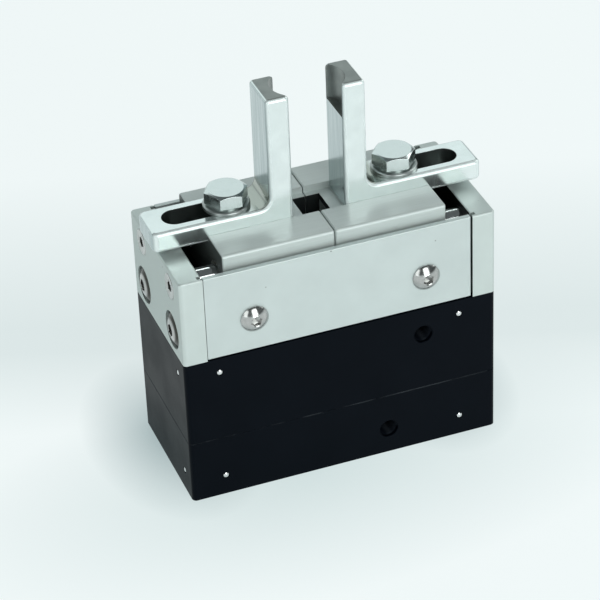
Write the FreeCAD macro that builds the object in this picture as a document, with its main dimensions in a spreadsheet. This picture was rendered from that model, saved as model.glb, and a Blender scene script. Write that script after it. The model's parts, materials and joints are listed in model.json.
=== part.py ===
import FreeCAD, Part
import math
import operator
import os
import types

import Sketcher

# A pneumatic parallel gripper: two jaws slide apart on guide rods, driven by one piston through
# a cam plate, and each jaw carries a bolted finger.
# Millimetres, +Z up, origin at the middle of the bottom face. The jaws slide along X and the air
# ports face -Y. The jaws are drawn closed, with the piston at the bottom of its travel.
# The mechanism sets the outside: walls and running gaps are added from the middle outwards.

SIZES = {
    # Piston and cylinder
    "piston_travel": 7.5,
    "bore_radius": 12.5,
    "piston_length": 9.0,
    "piston_play": 0.08,
    "piston_floor_gap": 0.5,
    "piston_roof_gap": 0.4,
    "piston_bevel": 0.4,
    "piston_seal_width": 2.7,
    "piston_seal_depth": 2.0,
    "seal_play": 0.04,
    "piston_rod_radius": 4.0,
    "piston_rod_play": 0.03,
    "spigot_radius": 3.0,
    "spigot_floor": 0.8,
    "rod_bush_wall": 2.0,
    "rod_bush_length": 3.95,
    "rod_seal_wall": 2.5,
    "rod_seal_height": 2.8,
    "press_play": 0.01,
    "base_height": 17.85,
    "block_corner": 1.2,
    "block_bevel": 0.15,
    "joint_seal_section": 0.7,
    "joint_seal_inset": 0.6,
    # Air ports, airways and the balls that close them
    "port_radius": 2.5,
    "port_depth": 9.5,
    "port_mouth_radius": 2.65,
    "airway_radius": 0.8,
    "airway_wall": 0.5,
    "airway_roof": 0.2,
    "riser_radius": 0.7,
    "riser_offset": 2.0,
    "lower_port_offset": 12.1,
    "lower_port_level": 7.35,
    "upper_port_offset": 22.1,
    "cross_airway_overlap": 1.0,
    "plug_radius": 1.25,
    "plug_stand": 0.1,
    "plug_lip": 0.25,
    "left_plug_offset": 32.75,
    "right_plug_offset": 32.0,
    "front_plug_low": 5.75,
    "front_plug_drop": 4.2,
    "side_plug_offset": 13.25,
    "side_plug_low": 6.3,
    "side_plug_drop": 5.25,
    # Cam plate and the pins that run in it
    "jaw_stroke": 5.0,
    "cam_thickness": 8.6,
    "cam_pin_radius": 2.0,
    "cam_pin_offset": 9.0,
    "cam_slot_play": 0.05,
    "cam_slot_overrun": 0.3,
    "cam_wall": 2.35,
    "cam_gap": 0.2,
    # Carriages
    "jaw_gap": 0.3,
    "carriage_end_wall": 4.15,
    "carriage_web": 2.5,
    "carriage_side_wall": 1.45,
    "carriage_floor": 1.7,
    "carriage_lift": 0.5,
    "carriage_bevel": 0.3,
    "cam_slot_wall": 1.75,
    "seat_floor": 1.8,
    "groove_depth": 1.8,
    "strip_height": 3.55,
    "strip_round": 0.8,
    "notch_length": 3.7,
    "cheek_thickness": 3.2,
    "cheek_length": 9.0,
    "cheek_wall": 1.35,
    "cheek_round": 2.5,
    "pin_recess": 0.2,
    # Guide rods and their bushes
    "guide_rod_radius": 3.0,
    "guide_rod_drop": 5.0,
    "guide_rod_seat": 2.0,
    "guide_rod_bevel": 0.4,
    "bush_wall": 0.97,
    "bush_length": 9.0,
    "bush_recess": 2.0,
    "bush_play": 0.03,
    # Jaw housing
    "end_gap": 1.05,
    "end_plate_thickness": 6.3,
    "end_plate_corner": 1.0,
    "end_plate_bevel": 0.3,
    "relief_groove": 1.2,
    "cover_thickness": 1.35,
    "cover_run_gap": 1.25,
    "cover_left_gap": 0.03,
    "cover_right_gap": 0.45,
    "cover_lift": 0.5,
    "cover_bevel": 0.12,
    "frame_side_gap": 0.4,
    "frame_end_gap": 3.5,
    "frame_corner": 3.0,
    # Fingers
    "finger_width": 12.3,
    "finger_play": 0.05,
    "finger_spacing": 13.75,
    "upright_thickness": 6.15,
    "finger_fillet": 2.85,
    "foot_thickness": 5.55,
    "foot_tail": 21.35,
    "finger_reach": 36.0,
    "finger_edge": 0.5,
    "finger_slot_width": 7.0,
    "finger_slot_wall": 4.4,
    "finger_slot_gap": 0.3,
    "nest_radius": 6.9,
    "nest_depth": 2.75,
    "nest_height": 9.5,
    # Finger bolts and washers
    "washer_radius": 6.0,
    "washer_hole_radius": 3.2,
    "washer_thickness": 1.2,
    "washer_gap": 0.575,
    "washer_bevel": 0.3,
    "bolt_radius": 3.0,
    "bolt_length": 16.0,
    "bolt_hole_spare": 1.0,
    "bolt_flats": 9.8,
    "bolt_head_height": 4.0,
    "bolt_crown_radius": 4.55,
    "bolt_face_radius": 4.4,
    "bolt_face_height": 0.5,
    "left_bolt_turn": -3.0,
    "right_bolt_turn": -10.0,
    # Screws
    "thread_play": 0.05,
    "clearance_play": 0.2,
    "screw_tip_bevel": 0.4,
    "body_screw_radius": 2.0,
    "body_screw_head_radius": 3.5,
    "body_screw_head_height": 4.0,
    "body_screw_socket": 3.0,
    "body_screw_sink": 0.4,
    "body_screw_grip": 9.4,
    "body_screw_offset": 29.4,
    "body_screw_side": 4.7,
    "cover_screw_radius": 2.0,
    "cover_screw_length": 8.0,
    "cover_screw_head_radius": 3.65,
    "cover_screw_head_height": 2.1,
    "cover_screw_dome": 1.75,
    "cover_screw_socket": 2.5,
    "cover_screw_offset": 23.0,
    "cover_screw_drop": 3.45,
    "plate_screw_radius": 2.5,
    "plate_screw_length": 10.0,
    "plate_screw_head_radius": 4.75,
    "plate_screw_head_height": 2.75,
    "plate_screw_dome": 2.2,
    "plate_screw_socket": 3.0,
    "plate_screw_sink": 0.3,
    "plate_screw_rise": 6.35,
    "head_room": 0.5,
    "hole_spare": 0.5,
    "small_screw_radius": 1.5,
    "small_screw_head_radius": 3.3,
    "small_screw_rim": 0.25,
    "small_screw_socket": 2.0,
    "small_socket_depth": 1.1,
    "rod_screw_length": 9.0,
    "piston_screw_length": 8.0,
    "cam_screw_head_radius": 2.75,
    "cam_screw_head_height": 3.0,
    "cam_screw_socket": 2.5,
    "cam_screw_head_play": 0.15,
    "cam_screw_grip": 7.0,
    # Mounting holes in the bottom
    "mount_spacing_x": 72.0,
    "mount_spacing_y": 24.0,
    "mount_hole_radius": 2.1,
    "mount_hole_depth": 10.0,
    "mount_mouth_radius": 2.6,
}

ON_EDGE = 1e-4

doc = FreeCAD.newDocument("parallel_gripper")
sheet = doc.addObject("Spreadsheet::Sheet", "sizes")
for row, (name, value) in enumerate(SIZES.items(), start=1):
    sheet.set(f"A{row}", name)
    sheet.set(f"B{row}", str(value))
    sheet.setAlias(f"B{row}", name)
doc.recompute()


class Size:
    """A length with the spreadsheet formula that gives it."""

    def __init__(self, value, formula):
        self.value = value
        self.formula = formula

    def __add__(self, other):
        return combined(self, "+", other)

    def __radd__(self, other):
        return combined(other, "+", self)

    def __sub__(self, other):
        return combined(self, "-", other)

    def __rsub__(self, other):
        return combined(other, "-", self)

    def __mul__(self, other):
        return combined(self, "*", other)

    def __rmul__(self, other):
        return combined(other, "*", self)

    def __truediv__(self, other):
        return combined(self, "/", other)

    def __neg__(self):
        return Size(-self.value, f"(-{self.formula})")


OPERATIONS = {"+": operator.add, "-": operator.sub, "*": operator.mul, "/": operator.truediv}


def as_size(item):
    """A plain number taken as a constant length."""
    return item if isinstance(item, Size) else Size(float(item), str(item))


def combined(left, sign, right):
    left = as_size(left)
    right = as_size(right)
    value = OPERATIONS[sign](left.value, right.value)
    return Size(value, f"({left.formula} {sign} {right.formula})")


def root(item):
    return Size(math.sqrt(item.value), f"sqrt({item.formula})")


size = types.SimpleNamespace(**{name: Size(value, f"sizes.{name}") for name, value in SIZES.items()})


# Drawing and shaping

def new_body(label):
    return doc.addObject("PartDesign::Body", label)


def new_sketch(body, role, level=0):
    """A sketch on an origin plane moved by level along +Z, -Y (XZ_Plane) or +X (YZ_Plane)."""
    sketch = body.newObject("Sketcher::SketchObject", "sketch")
    plane = next(item for item in body.Origin.OriginFeatures if item.Role == role)
    sketch.AttachmentSupport = (plane, [""])
    sketch.MapMode = "FlatFace"
    sketch.setExpression("AttachmentOffset.Base.z", as_size(level).formula)
    return sketch


def hold_point(sketch, line, end, place):
    """Hold one end of a line, or a circle's centre, at its formulas."""
    for kind, axis, distance in zip(("DistanceX", "DistanceY"), (-2, -1), place):
        distance = as_size(distance)
        if distance.formula == "0":
            sketch.addConstraint(Sketcher.Constraint("PointOnObject", line, end, axis))
            continue
        rule = Sketcher.Constraint(kind, -1, 1, line, end, distance.value)
        number = sketch.addConstraint(rule)
        sketch.setExpression(f"Constraints[{number}]", distance.formula)


def vector(place):
    return FreeCAD.Vector(as_size(place[0]).value, as_size(place[1]).value, 0)


def outline(sketch, corners):
    """A closed outline of straight sides through the corners."""
    first = sketch.GeometryCount
    count = len(corners)
    for number in range(count):
        side = Part.LineSegment(vector(corners[number]), vector(corners[(number + 1) % count]))
        sketch.addGeometry(side, False)
    for number in range(count):
        following = first + (number + 1) % count
        sketch.addConstraint(Sketcher.Constraint("Coincident", first + number, 2, following, 1))
        hold_point(sketch, first + number, 1, corners[number])


def rectangle(sketch, low_u, high_u, low_v, high_v):
    outline(sketch, [(low_u, low_v), (high_u, low_v), (high_u, high_v), (low_u, high_v)])


def hexagon(sketch, flats):
    """A hexagon round the sketch's origin with a corner on its first axis."""
    corner = flats / math.sqrt(3)
    half = corner / 2
    side = flats / 2
    outline(sketch, [(corner, 0), (half, side), (-half, side), (-corner, 0), (-half, -side), (half, -side)])


def circle(sketch, centre, radius):
    radius = as_size(radius)
    line = Part.Circle(vector(centre), FreeCAD.Vector(0, 0, 1), radius.value)
    number = sketch.addGeometry(line, False)
    hold_point(sketch, number, 3, centre)
    rule = sketch.addConstraint(Sketcher.Constraint("Radius", number, radius.value))
    sketch.setExpression(f"Constraints[{rule}]", radius.formula)


def slot(sketch, start, end, radius):
    """A slot with round ends centred on start and end."""
    near = vector(start)
    far = vector(end)
    heading = math.atan2(far.y - near.y, far.x - near.x)
    across = FreeCAD.Vector(-math.sin(heading), math.cos(heading), 0) * radius.value
    up = FreeCAD.Vector(0, 0, 1)
    quarter = math.pi / 2
    first = sketch.addGeometry([
        Part.ArcOfCircle(Part.Circle(near, up, radius.value), heading + quarter, heading + 3 * quarter),
        Part.ArcOfCircle(Part.Circle(far, up, radius.value), heading - quarter, heading + quarter),
        Part.LineSegment(near + across, far + across),
        Part.LineSegment(near - across, far - across),
    ], False)[0]
    near_arc, far_arc, left_side, right_side = range(first, first + 4)
    for one, one_end, other, other_end in (
            (near_arc, 1, left_side, 1), (near_arc, 2, right_side, 1),
            (left_side, 2, far_arc, 2), (right_side, 2, far_arc, 1)):
        sketch.addConstraint(Sketcher.Constraint("Tangent", one, one_end, other, other_end))
    sketch.addConstraint(Sketcher.Constraint("Equal", near_arc, far_arc))
    hold_point(sketch, near_arc, 3, start)
    hold_point(sketch, far_arc, 3, end)
    rule = sketch.addConstraint(Sketcher.Constraint("Radius", near_arc, radius.value))
    sketch.setExpression(f"Constraints[{rule}]", radius.formula)


def pad(body, sketch, length, symmetric=False, reverse=False):
    feature = body.newObject("PartDesign::Pad", "pad")
    feature.Profile = sketch
    feature.SideType = "Symmetric" if symmetric else "One side"
    feature.Reversed = reverse
    feature.setExpression("Length", length.formula)
    doc.recompute()


def check_cut(body, before):
    if body.Shape.Volume > before - ON_EDGE:
        raise RuntimeError(f"a cut in {body.Label} removed nothing")


def pocket(body, sketch, length=None, symmetric=False, reverse=False):
    """Cut against the sketch's normal, or along it if reversed; no length cuts through everything."""
    before = body.Shape.Volume
    feature = body.newObject("PartDesign::Pocket", "pocket")
    feature.Profile = sketch
    feature.SideType = "Symmetric" if symmetric else "One side"
    feature.Reversed = reverse
    if length is None:
        feature.Type = "ThroughAll"
    else:
        feature.setExpression("Length", length.formula)
    doc.recompute()
    check_cut(body, before)


def drill(body, sketch, radius, depth=None, reverse=False, mouth=None, bore=None):
    """Drill at a sketch's circles, with a countersunk mouth or a (radius, depth) counterbore."""
    before = body.Shape.Volume
    doc.recompute()
    feature = body.newObject("PartDesign::Hole", "hole")
    feature.Profile = sketch
    feature.ThreadType = "None"
    feature.DrillPoint = "Flat"
    feature.Reversed = reverse
    feature.setExpression("Diameter", (2 * radius).formula)
    if depth is None:
        feature.DepthType = "ThroughAll"
    else:
        feature.DepthType = "Dimension"
        feature.setExpression("Depth", depth.formula)
    if mouth is not None:
        feature.HoleCutType = "Countersink"
        feature.HoleCutCountersinkAngle = 90
        feature.setExpression("HoleCutDiameter", (2 * mouth).formula)
    if bore is not None:
        feature.HoleCutType = "Counterbore"
        feature.setExpression("HoleCutDiameter", (2 * bore[0]).formula)
        feature.setExpression("HoleCutDepth", bore[1].formula)
    doc.recompute()
    check_cut(body, before)


def edges(body, chosen):
    """Names of the body's edges whose bounding box is chosen."""
    numbered = enumerate(body.Tip.Shape.Edges, start=1)
    return [f"Edge{number}" for number, edge in numbered if chosen(edge.BoundBox)]


def same(one, other):
    return abs(one - as_size(other).value) < ON_EDGE


def is_upright(box):
    return box.XLength < ON_EDGE and box.YLength < ON_EDGE


def is_level(box):
    return box.ZLength < ON_EDGE


def fillet(body, names, radius):
    feature = body.newObject("PartDesign::Fillet", "fillet")
    feature.Base = (body.Tip.BaseFeature if body.Tip == feature else body.Tip, names)
    feature.setExpression("Radius", radius.formula)
    doc.recompute()


def chamfer(body, names, length):
    feature = body.newObject("PartDesign::Chamfer", "chamfer")
    feature.Base = (body.Tip.BaseFeature if body.Tip == feature else body.Tip, names)
    feature.setExpression("Size", length.formula)
    doc.recompute()


def revolve(body, corners, cut=False):
    """Turn an outline of (radius, height) corners about the Z axis."""
    before = body.Shape.Volume if cut else 0
    sketch = new_sketch(body, "XZ_Plane")
    outline(sketch, corners)
    feature = body.newObject("PartDesign::Groove" if cut else "PartDesign::Revolution", "turned")
    feature.Profile = sketch
    feature.ReferenceAxis = (sketch, ["V_Axis"])
    feature.Angle = 360
    doc.recompute()
    if cut:
        check_cut(body, before)


def turned(label, corners):
    body = new_body(label)
    revolve(body, corners)
    return body


def place(item, x, y, z, turn=FreeCAD.Rotation()):
    item.Placement = FreeCAD.Placement(FreeCAD.Vector(), turn)
    for axis, distance in zip("xyz", (x, y, z)):
        item.setExpression(f"Placement.Base.{axis}", as_size(distance).formula)


UP = FreeCAD.Vector(0, 0, 1)
FACING = {
    "up": FreeCAD.Rotation(),
    "down": FreeCAD.Rotation(FreeCAD.Vector(1, 0, 0), 180),
    "front": FreeCAD.Rotation(UP, FreeCAD.Vector(0, -1, 0)),
    "rear": FreeCAD.Rotation(UP, FreeCAD.Vector(0, 1, 0)),
    "left": FreeCAD.Rotation(UP, FreeCAD.Vector(-1, 0, 0)),
    "right": FreeCAD.Rotation(UP, FreeCAD.Vector(1, 0, 0)),
}


def group(label, source, places):
    """Copies of one piece, each at (x, y, z, facing), kept together as one sub-part."""
    copies = []
    for number, (x, y, z, facing) in enumerate(places, start=1):
        copy = doc.addObject("App::Link", f"{label}_{number}")
        copy.LinkedObject = source
        place(copy, x, y, z, FACING[facing])
        copies.append(copy)
    together = doc.addObject("Part::Compound", label)
    together.Links = copies
    return together


def mirrored(label, source):
    """The right-hand copy of a left-hand piece."""
    copy = doc.addObject("Part::Mirroring", label)
    copy.Source = source
    copy.Normal = (1, 0, 0)
    return copy


# Levels, from the bottom up

base_top = size.base_height
piston_bottom = base_top + size.piston_floor_gap
piston_top = piston_bottom + size.piston_length
bore_top = piston_top + size.piston_travel + size.piston_roof_gap
rod_seal_top = bore_top + size.rod_seal_height
block_top = rod_seal_top + size.rod_bush_length
cam_bottom = block_top + size.cam_gap
cam_reach = size.cam_pin_radius + size.cam_slot_play + size.cam_wall
pin_level = cam_bottom + cam_reach + size.piston_travel
cam_top = pin_level + cam_reach
seat_level = cam_top + size.piston_travel + size.cam_gap + size.seat_floor
carriage_top = seat_level + size.groove_depth
housing_top = carriage_top - size.strip_height
rod_level = housing_top - size.guide_rod_drop
bush_radius = size.guide_rod_radius + size.bush_play + size.bush_wall
carriage_bottom = rod_level - bush_radius - size.carriage_floor
frame_top = carriage_bottom - size.carriage_lift
foot_top = seat_level + size.foot_thickness
finger_tip = seat_level + size.finger_reach

# Distances from the middle, along the jaws

finger_inner = size.finger_spacing / 2
upright_outer = finger_inner + size.upright_thickness
bolt_offset = upright_outer + size.finger_fillet + size.washer_gap + size.washer_radius
foot_end = bolt_offset + size.foot_tail
bolt_hole_radius = size.bolt_radius + size.thread_play
carriage_inner = size.jaw_gap / 2
carriage_outer = bolt_offset + bolt_hole_radius + size.carriage_end_wall
plate_inner = carriage_outer + size.jaw_stroke + size.end_gap
half_width = plate_inner + size.end_plate_thickness

# Distances from the middle, across the jaws

cam_slot_half = size.cam_thickness / 2 + size.cam_gap
cheek_outer = cam_slot_half + size.cheek_thickness
rod_side = cam_slot_half + size.carriage_web + bush_radius
carriage_side = rod_side + bush_radius + size.carriage_side_wall
cover_inner = carriage_side + size.cover_run_gap
half_depth = cover_inner + size.cover_thickness
groove_half = size.finger_width / 2 + size.finger_play

BOTH = (-1, 1)


# Black blocks: base and cylinder, with air ports in the front

def black_block(label, bottom, top):
    body = new_body(label)
    sketch = new_sketch(body, "XY_Plane", bottom)
    rectangle(sketch, -half_width, half_width, -half_depth, half_depth)
    pad(body, sketch, top - bottom)
    fillet(body, edges(body, is_upright), size.block_corner)
    chamfer(body, edges(body, is_level), size.block_bevel)
    return body


def drill_port(body, offset, level):
    sketch = new_sketch(body, "XZ_Plane", half_depth)
    circle(sketch, (offset, level), size.port_radius)
    drill(body, sketch, size.port_radius, size.port_depth, mouth=size.port_mouth_radius)


# Each ball sits in a hole of its own size, behind a lip that was staked over it
ball_depth = size.plug_radius - size.plug_stand
lip_rise = ball_depth - size.plug_lip
plug_mouth = root(size.plug_radius * size.plug_radius - lip_rise * lip_rise) + size.press_play
plug_hole_depth = ball_depth + size.plug_radius


def drill_plug_holes(body, front_level, side_level):
    steps = (
        (as_size(0), plug_mouth, size.plug_lip),
        (size.plug_lip, size.plug_radius + size.press_play, plug_hole_depth - size.plug_lip),
    )
    for start, radius, depth in steps:
        sketch = new_sketch(body, "XZ_Plane", half_depth - start)
        circle(sketch, (-size.left_plug_offset, front_level), radius)
        circle(sketch, (size.right_plug_offset, front_level), radius)
        pocket(body, sketch, depth)
        sketch = new_sketch(body, "YZ_Plane", start - half_width)
        circle(sketch, (-size.side_plug_offset, side_level), radius)
        pocket(body, sketch, depth, reverse=True)


def body_screw_circles(body, level, radius):
    sketch = new_sketch(body, "XY_Plane", level)
    for side_x in BOTH:
        for side_y in BOTH:
            circle(sketch, (side_x * size.body_screw_offset, side_y * size.body_screw_side), radius)
    return sketch


body_screw_seat = size.body_screw_head_height + size.body_screw_sink
body_screw_tip = block_top + size.body_screw_grip
body_screw_hole = size.body_screw_radius + size.clearance_play
body_screw_thread = size.body_screw_radius + size.thread_play

base_block = black_block("base_block", as_size(0), base_top)
drill_port(base_block, size.lower_port_offset, size.lower_port_level)
drill_plug_holes(base_block, size.front_plug_low, size.side_plug_low)
sketch = body_screw_circles(base_block, 0, body_screw_hole)
head_bore = (size.body_screw_head_radius + size.head_room / 2, body_screw_seat)
drill(base_block, sketch, body_screw_hole, reverse=True, bore=head_bore)

sketch = new_sketch(base_block, "XY_Plane")
for side_x in BOTH:
    for side_y in BOTH:
        centre = (side_x * size.mount_spacing_x / 2, side_y * size.mount_spacing_y / 2)
        circle(sketch, centre, size.mount_hole_radius)
drill(base_block, sketch, size.mount_hole_radius, size.mount_hole_depth, reverse=True,
      mouth=size.mount_mouth_radius)

# The lower airway runs back from the port and rises into the bore under the piston
riser_x = size.bore_radius - size.riser_radius - size.airway_wall
port_bottom = half_depth - size.port_depth
sketch = new_sketch(base_block, "XZ_Plane", port_bottom)
circle(sketch, (riser_x, size.lower_port_level), size.airway_radius)
pocket(base_block, sketch, port_bottom - size.riser_offset + size.riser_radius + size.airway_wall)
sketch = new_sketch(base_block, "XY_Plane", size.lower_port_level)
circle(sketch, (riser_x, -size.riser_offset), size.riser_radius)
pocket(base_block, sketch, base_top - size.lower_port_level, reverse=True)

# A ring seal in the base's top face seals the bore
seal_groove_inner = size.bore_radius + size.joint_seal_inset
seal_groove_width = 2 * (size.joint_seal_section + size.seal_play)
sketch = new_sketch(base_block, "XY_Plane", base_top)
circle(sketch, (0, 0), seal_groove_inner)
circle(sketch, (0, 0), seal_groove_inner + seal_groove_width)
pocket(base_block, sketch, seal_groove_width)

joint_seal = doc.addObject("Part::Torus", "joint_seal")
joint_seal.setExpression("Radius1", (seal_groove_inner + seal_groove_width / 2).formula)
joint_seal.setExpression("Radius2", size.joint_seal_section.formula)
place(joint_seal, 0, 0, base_top - seal_groove_width / 2)

# The cylinder block's stepped bore takes the piston, the rod seal and the rod bush
rod_bush_radius = size.piston_rod_radius + size.piston_rod_play + size.rod_bush_wall
rod_seal_radius = size.piston_rod_radius + size.piston_rod_play + size.rod_seal_wall
bush_bore = rod_bush_radius + size.press_play
seal_bore = rod_seal_radius + size.press_play
cylinder_block = black_block("cylinder_block", base_top, block_top)
revolve(cylinder_block, [
    (0, base_top), (size.bore_radius, base_top), (size.bore_radius, bore_top), (seal_bore, bore_top),
    (seal_bore, rod_seal_top), (bush_bore, rod_seal_top), (bush_bore, block_top), (0, block_top),
], cut=True)
upper_port_level = bore_top - size.airway_radius - size.airway_roof
drill_port(cylinder_block, size.upper_port_offset, upper_port_level)
drill_plug_holes(cylinder_block, block_top - size.front_plug_drop, block_top - size.side_plug_drop)
sketch = body_screw_circles(cylinder_block, base_top, body_screw_hole)
drill(cylinder_block, sketch, body_screw_hole, reverse=True)

# The upper airway runs sideways from the port into the bore above the piston
cross_y = port_bottom + size.airway_radius + size.airway_wall
sketch = new_sketch(cylinder_block, "YZ_Plane", size.upper_port_offset)
circle(sketch, (-cross_y, upper_port_level), size.airway_radius)
bore_edge = root(size.bore_radius * size.bore_radius - cross_y * cross_y)
pocket(cylinder_block, sketch, size.upper_port_offset - bore_edge + size.cross_airway_overlap)

rod_hole = size.piston_rod_radius + size.piston_rod_play
rod_bush = turned("rod_bush", [
    (rod_hole, rod_seal_top), (rod_bush_radius, rod_seal_top),
    (rod_bush_radius, block_top), (rod_hole, block_top),
])
rod_seal = turned("rod_seal", [
    (rod_hole, bore_top), (rod_seal_radius, bore_top),
    (rod_seal_radius, rod_seal_top), (rod_hole, rod_seal_top),
])

ball_plug = doc.addObject("Part::Sphere", "ball_plug")
ball_plug.setExpression("Radius", size.plug_radius.formula)
plug_places = []
for level in (size.front_plug_low, block_top - size.front_plug_drop):
    for offset in (-size.left_plug_offset, size.right_plug_offset):
        plug_places.append((offset, ball_depth - half_depth, level, "front"))
for level in (size.side_plug_low, block_top - size.side_plug_drop):
    plug_places.append((ball_depth - half_width, -size.side_plug_offset, level, "left"))
group("ball_plugs", ball_plug, plug_places)


# Screws, drawn head up with the face under the head at the origin

def socket_screw(label, radius, length, head_radius, head_height, socket):
    """A screw with a round head, a hexagon socket half the head deep and a bevelled tip."""
    tip = size.screw_tip_bevel
    body = turned(label, [
        (0, head_height), (head_radius, head_height), (head_radius, 0), (radius, 0),
        (radius, tip - length), (radius - tip, -length), (0, -length),
    ])
    sketch = new_sketch(body, "XY_Plane", head_height)
    hexagon(sketch, socket)
    pocket(body, sketch, head_height / 2)
    return body


def countersunk_screw(label, length):
    """A small flat-headed screw; its flat top is at the origin."""
    rim = size.small_screw_rim
    head = small_head_height
    radius = size.small_screw_radius
    body = turned(label, [
        (0, 0), (size.small_screw_head_radius, 0), (size.small_screw_head_radius, -rim),
        (radius, -head), (radius, -length), (0, -length),
    ])
    sketch = new_sketch(body, "XY_Plane")
    hexagon(sketch, size.small_screw_socket)
    pocket(body, sketch, size.small_socket_depth)
    return body


def is_head_rim(radius, height):
    return lambda box: is_level(box) and same(box.ZMax, height) and same(box.XMax, radius)


# A countersunk head narrows by its radius in its height below the rim, at 90 degrees
small_head_height = size.small_screw_head_radius - size.small_screw_radius + size.small_screw_rim
small_thread_radius = size.small_screw_radius + size.thread_play
small_hole_radius = size.small_screw_radius + size.clearance_play
countersink_radius = size.small_screw_head_radius + size.small_screw_rim + size.thread_play

body_screw = socket_screw(
    "body_screw", size.body_screw_radius, body_screw_tip - body_screw_seat,
    size.body_screw_head_radius, size.body_screw_head_height, size.body_screw_socket)
group("body_screws", body_screw, [
    (side_x * size.body_screw_offset, side_y * size.body_screw_side, body_screw_seat, "down")
    for side_x in BOTH for side_y in BOTH])


# Jaw housing: guide frame inside, end plates and covers outside

cover_screw_level = frame_top - size.cover_screw_drop
cover_screw_thread = size.cover_screw_radius + size.thread_play
cover_screw_hole = size.cover_screw_radius + size.clearance_play
cover_thread_depth = size.cover_screw_length - size.cover_thickness + size.hole_spare
plate_screw_level = block_top + size.plate_screw_rise
plate_screw_seat = size.plate_screw_head_height + size.plate_screw_sink
plate_screw_thread = size.plate_screw_radius + size.thread_play
plate_screw_hole = size.plate_screw_radius + size.clearance_play
plate_screw_reach = size.plate_screw_length - (size.end_plate_thickness - plate_screw_seat)

guide_frame = new_body("guide_frame")
sketch = new_sketch(guide_frame, "XY_Plane", block_top)
rectangle(sketch, -plate_inner, plate_inner, -cover_inner, cover_inner)
pad(guide_frame, sketch, frame_top - block_top)
opening_x = size.cam_pin_offset + size.jaw_stroke + size.cheek_length / 2 + size.frame_end_gap
opening_y = cheek_outer + size.frame_side_gap
sketch = new_sketch(guide_frame, "XY_Plane", frame_top)
rectangle(sketch, -opening_x, opening_x, -opening_y, opening_y)
pocket(guide_frame, sketch)
opening_corners = edges(guide_frame, lambda box: is_upright(box) and same(abs(box.XMin), opening_x))
fillet(guide_frame, opening_corners, size.frame_corner)
sketch = body_screw_circles(guide_frame, block_top, body_screw_thread)
drill(guide_frame, sketch, body_screw_thread, size.body_screw_grip + size.hole_spare, reverse=True)
for side in BOTH:
    sketch = new_sketch(guide_frame, "XZ_Plane", side * cover_inner)
    for side_x in BOTH:
        circle(sketch, (side_x * size.cover_screw_offset, cover_screw_level), cover_screw_thread)
    drill(guide_frame, sketch, cover_screw_thread, cover_thread_depth, reverse=side < 0)
    sketch = new_sketch(guide_frame, "YZ_Plane", side * plate_inner)
    for side_y in BOTH:
        circle(sketch, (side_y * rod_side, plate_screw_level), plate_screw_thread)
    drill(guide_frame, sketch, plate_screw_thread, plate_screw_reach + size.hole_spare, reverse=side < 0)


def is_outer_corner(box):
    return is_upright(box) and same(box.XMin, -half_width)


left_end_plate = new_body("left_end_plate")
sketch = new_sketch(left_end_plate, "XY_Plane", block_top)
rectangle(sketch, -half_width, -plate_inner, -half_depth, half_depth)
pad(left_end_plate, sketch, housing_top - block_top)
fillet(left_end_plate, edges(left_end_plate, is_outer_corner), size.end_plate_corner)
top_rim = edges(left_end_plate, lambda box: is_level(box) and same(box.ZMax, housing_top))
chamfer(left_end_plate, top_rim, size.end_plate_bevel)
sketch = new_sketch(left_end_plate, "YZ_Plane", -half_width)
for side in BOTH:
    circle(sketch, (side * rod_side, plate_screw_level), plate_screw_hole)
head_bore = (size.plate_screw_head_radius + size.head_room / 2, plate_screw_seat)
drill(left_end_plate, sketch, plate_screw_hole, reverse=True, bore=head_bore)
sketch = new_sketch(left_end_plate, "YZ_Plane", -half_width)
for side in BOTH:
    circle(sketch, (side * rod_side, rod_level), small_hole_radius)
drill(left_end_plate, sketch, small_hole_radius, reverse=True, mouth=countersink_radius)
sketch = new_sketch(left_end_plate, "YZ_Plane", -plate_inner)
for side in BOTH:
    circle(sketch, (side * rod_side, rod_level), size.guide_rod_radius + size.press_play)
pocket(left_end_plate, sketch, size.guide_rod_seat)

# A relief groove behind each cover's end
sketch = new_sketch(left_end_plate, "XY_Plane", housing_top)
half_groove = size.relief_groove / 2
for side in BOTH:
    middle = side * cover_inner
    rectangle(sketch, -plate_inner - size.relief_groove, -plate_inner,
              middle - half_groove, middle + half_groove)
pocket(left_end_plate, sketch)
mirrored("right_end_plate", left_end_plate)

plate_screw = socket_screw(
    "plate_screw", size.plate_screw_radius, size.plate_screw_length,
    size.plate_screw_head_radius, size.plate_screw_head_height, size.plate_screw_socket)
head_rim = is_head_rim(size.plate_screw_head_radius, size.plate_screw_head_height)
fillet(plate_screw, edges(plate_screw, head_rim), size.plate_screw_dome)
plate_screw_face = half_width - plate_screw_seat
group("end_plate_screws", plate_screw, [
    (side_x * plate_screw_face, side_y * rod_side, plate_screw_level, "left" if side_x < 0 else "right")
    for side_x in BOTH for side_y in BOTH])

rod_screw = countersunk_screw("rod_screw", size.rod_screw_length)
group("rod_screws", rod_screw, [
    (side_x * half_width, side_y * rod_side, rod_level, "left" if side_x < 0 else "right")
    for side_x in BOTH for side_y in BOTH])

rod_half = plate_inner + size.guide_rod_seat
rod_thread_depth = size.rod_screw_length - (size.end_plate_thickness - size.guide_rod_seat) + size.hole_spare
for label, side in (("front_guide_rod", -1), ("rear_guide_rod", 1)):
    rod = turned(label, [
        (0, -rod_half), (size.guide_rod_radius - size.guide_rod_bevel, -rod_half),
        (size.guide_rod_radius, size.guide_rod_bevel - rod_half),
        (size.guide_rod_radius, rod_half - size.guide_rod_bevel),
        (size.guide_rod_radius - size.guide_rod_bevel, rod_half), (0, rod_half),
    ])
    for end in BOTH:
        sketch = new_sketch(rod, "XY_Plane", end * rod_half)
        circle(sketch, (0, 0), small_thread_radius)
        drill(rod, sketch, small_thread_radius, rod_thread_depth, reverse=end < 0)
    place(rod, 0, side * rod_side, rod_level, FACING["right"])

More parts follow.
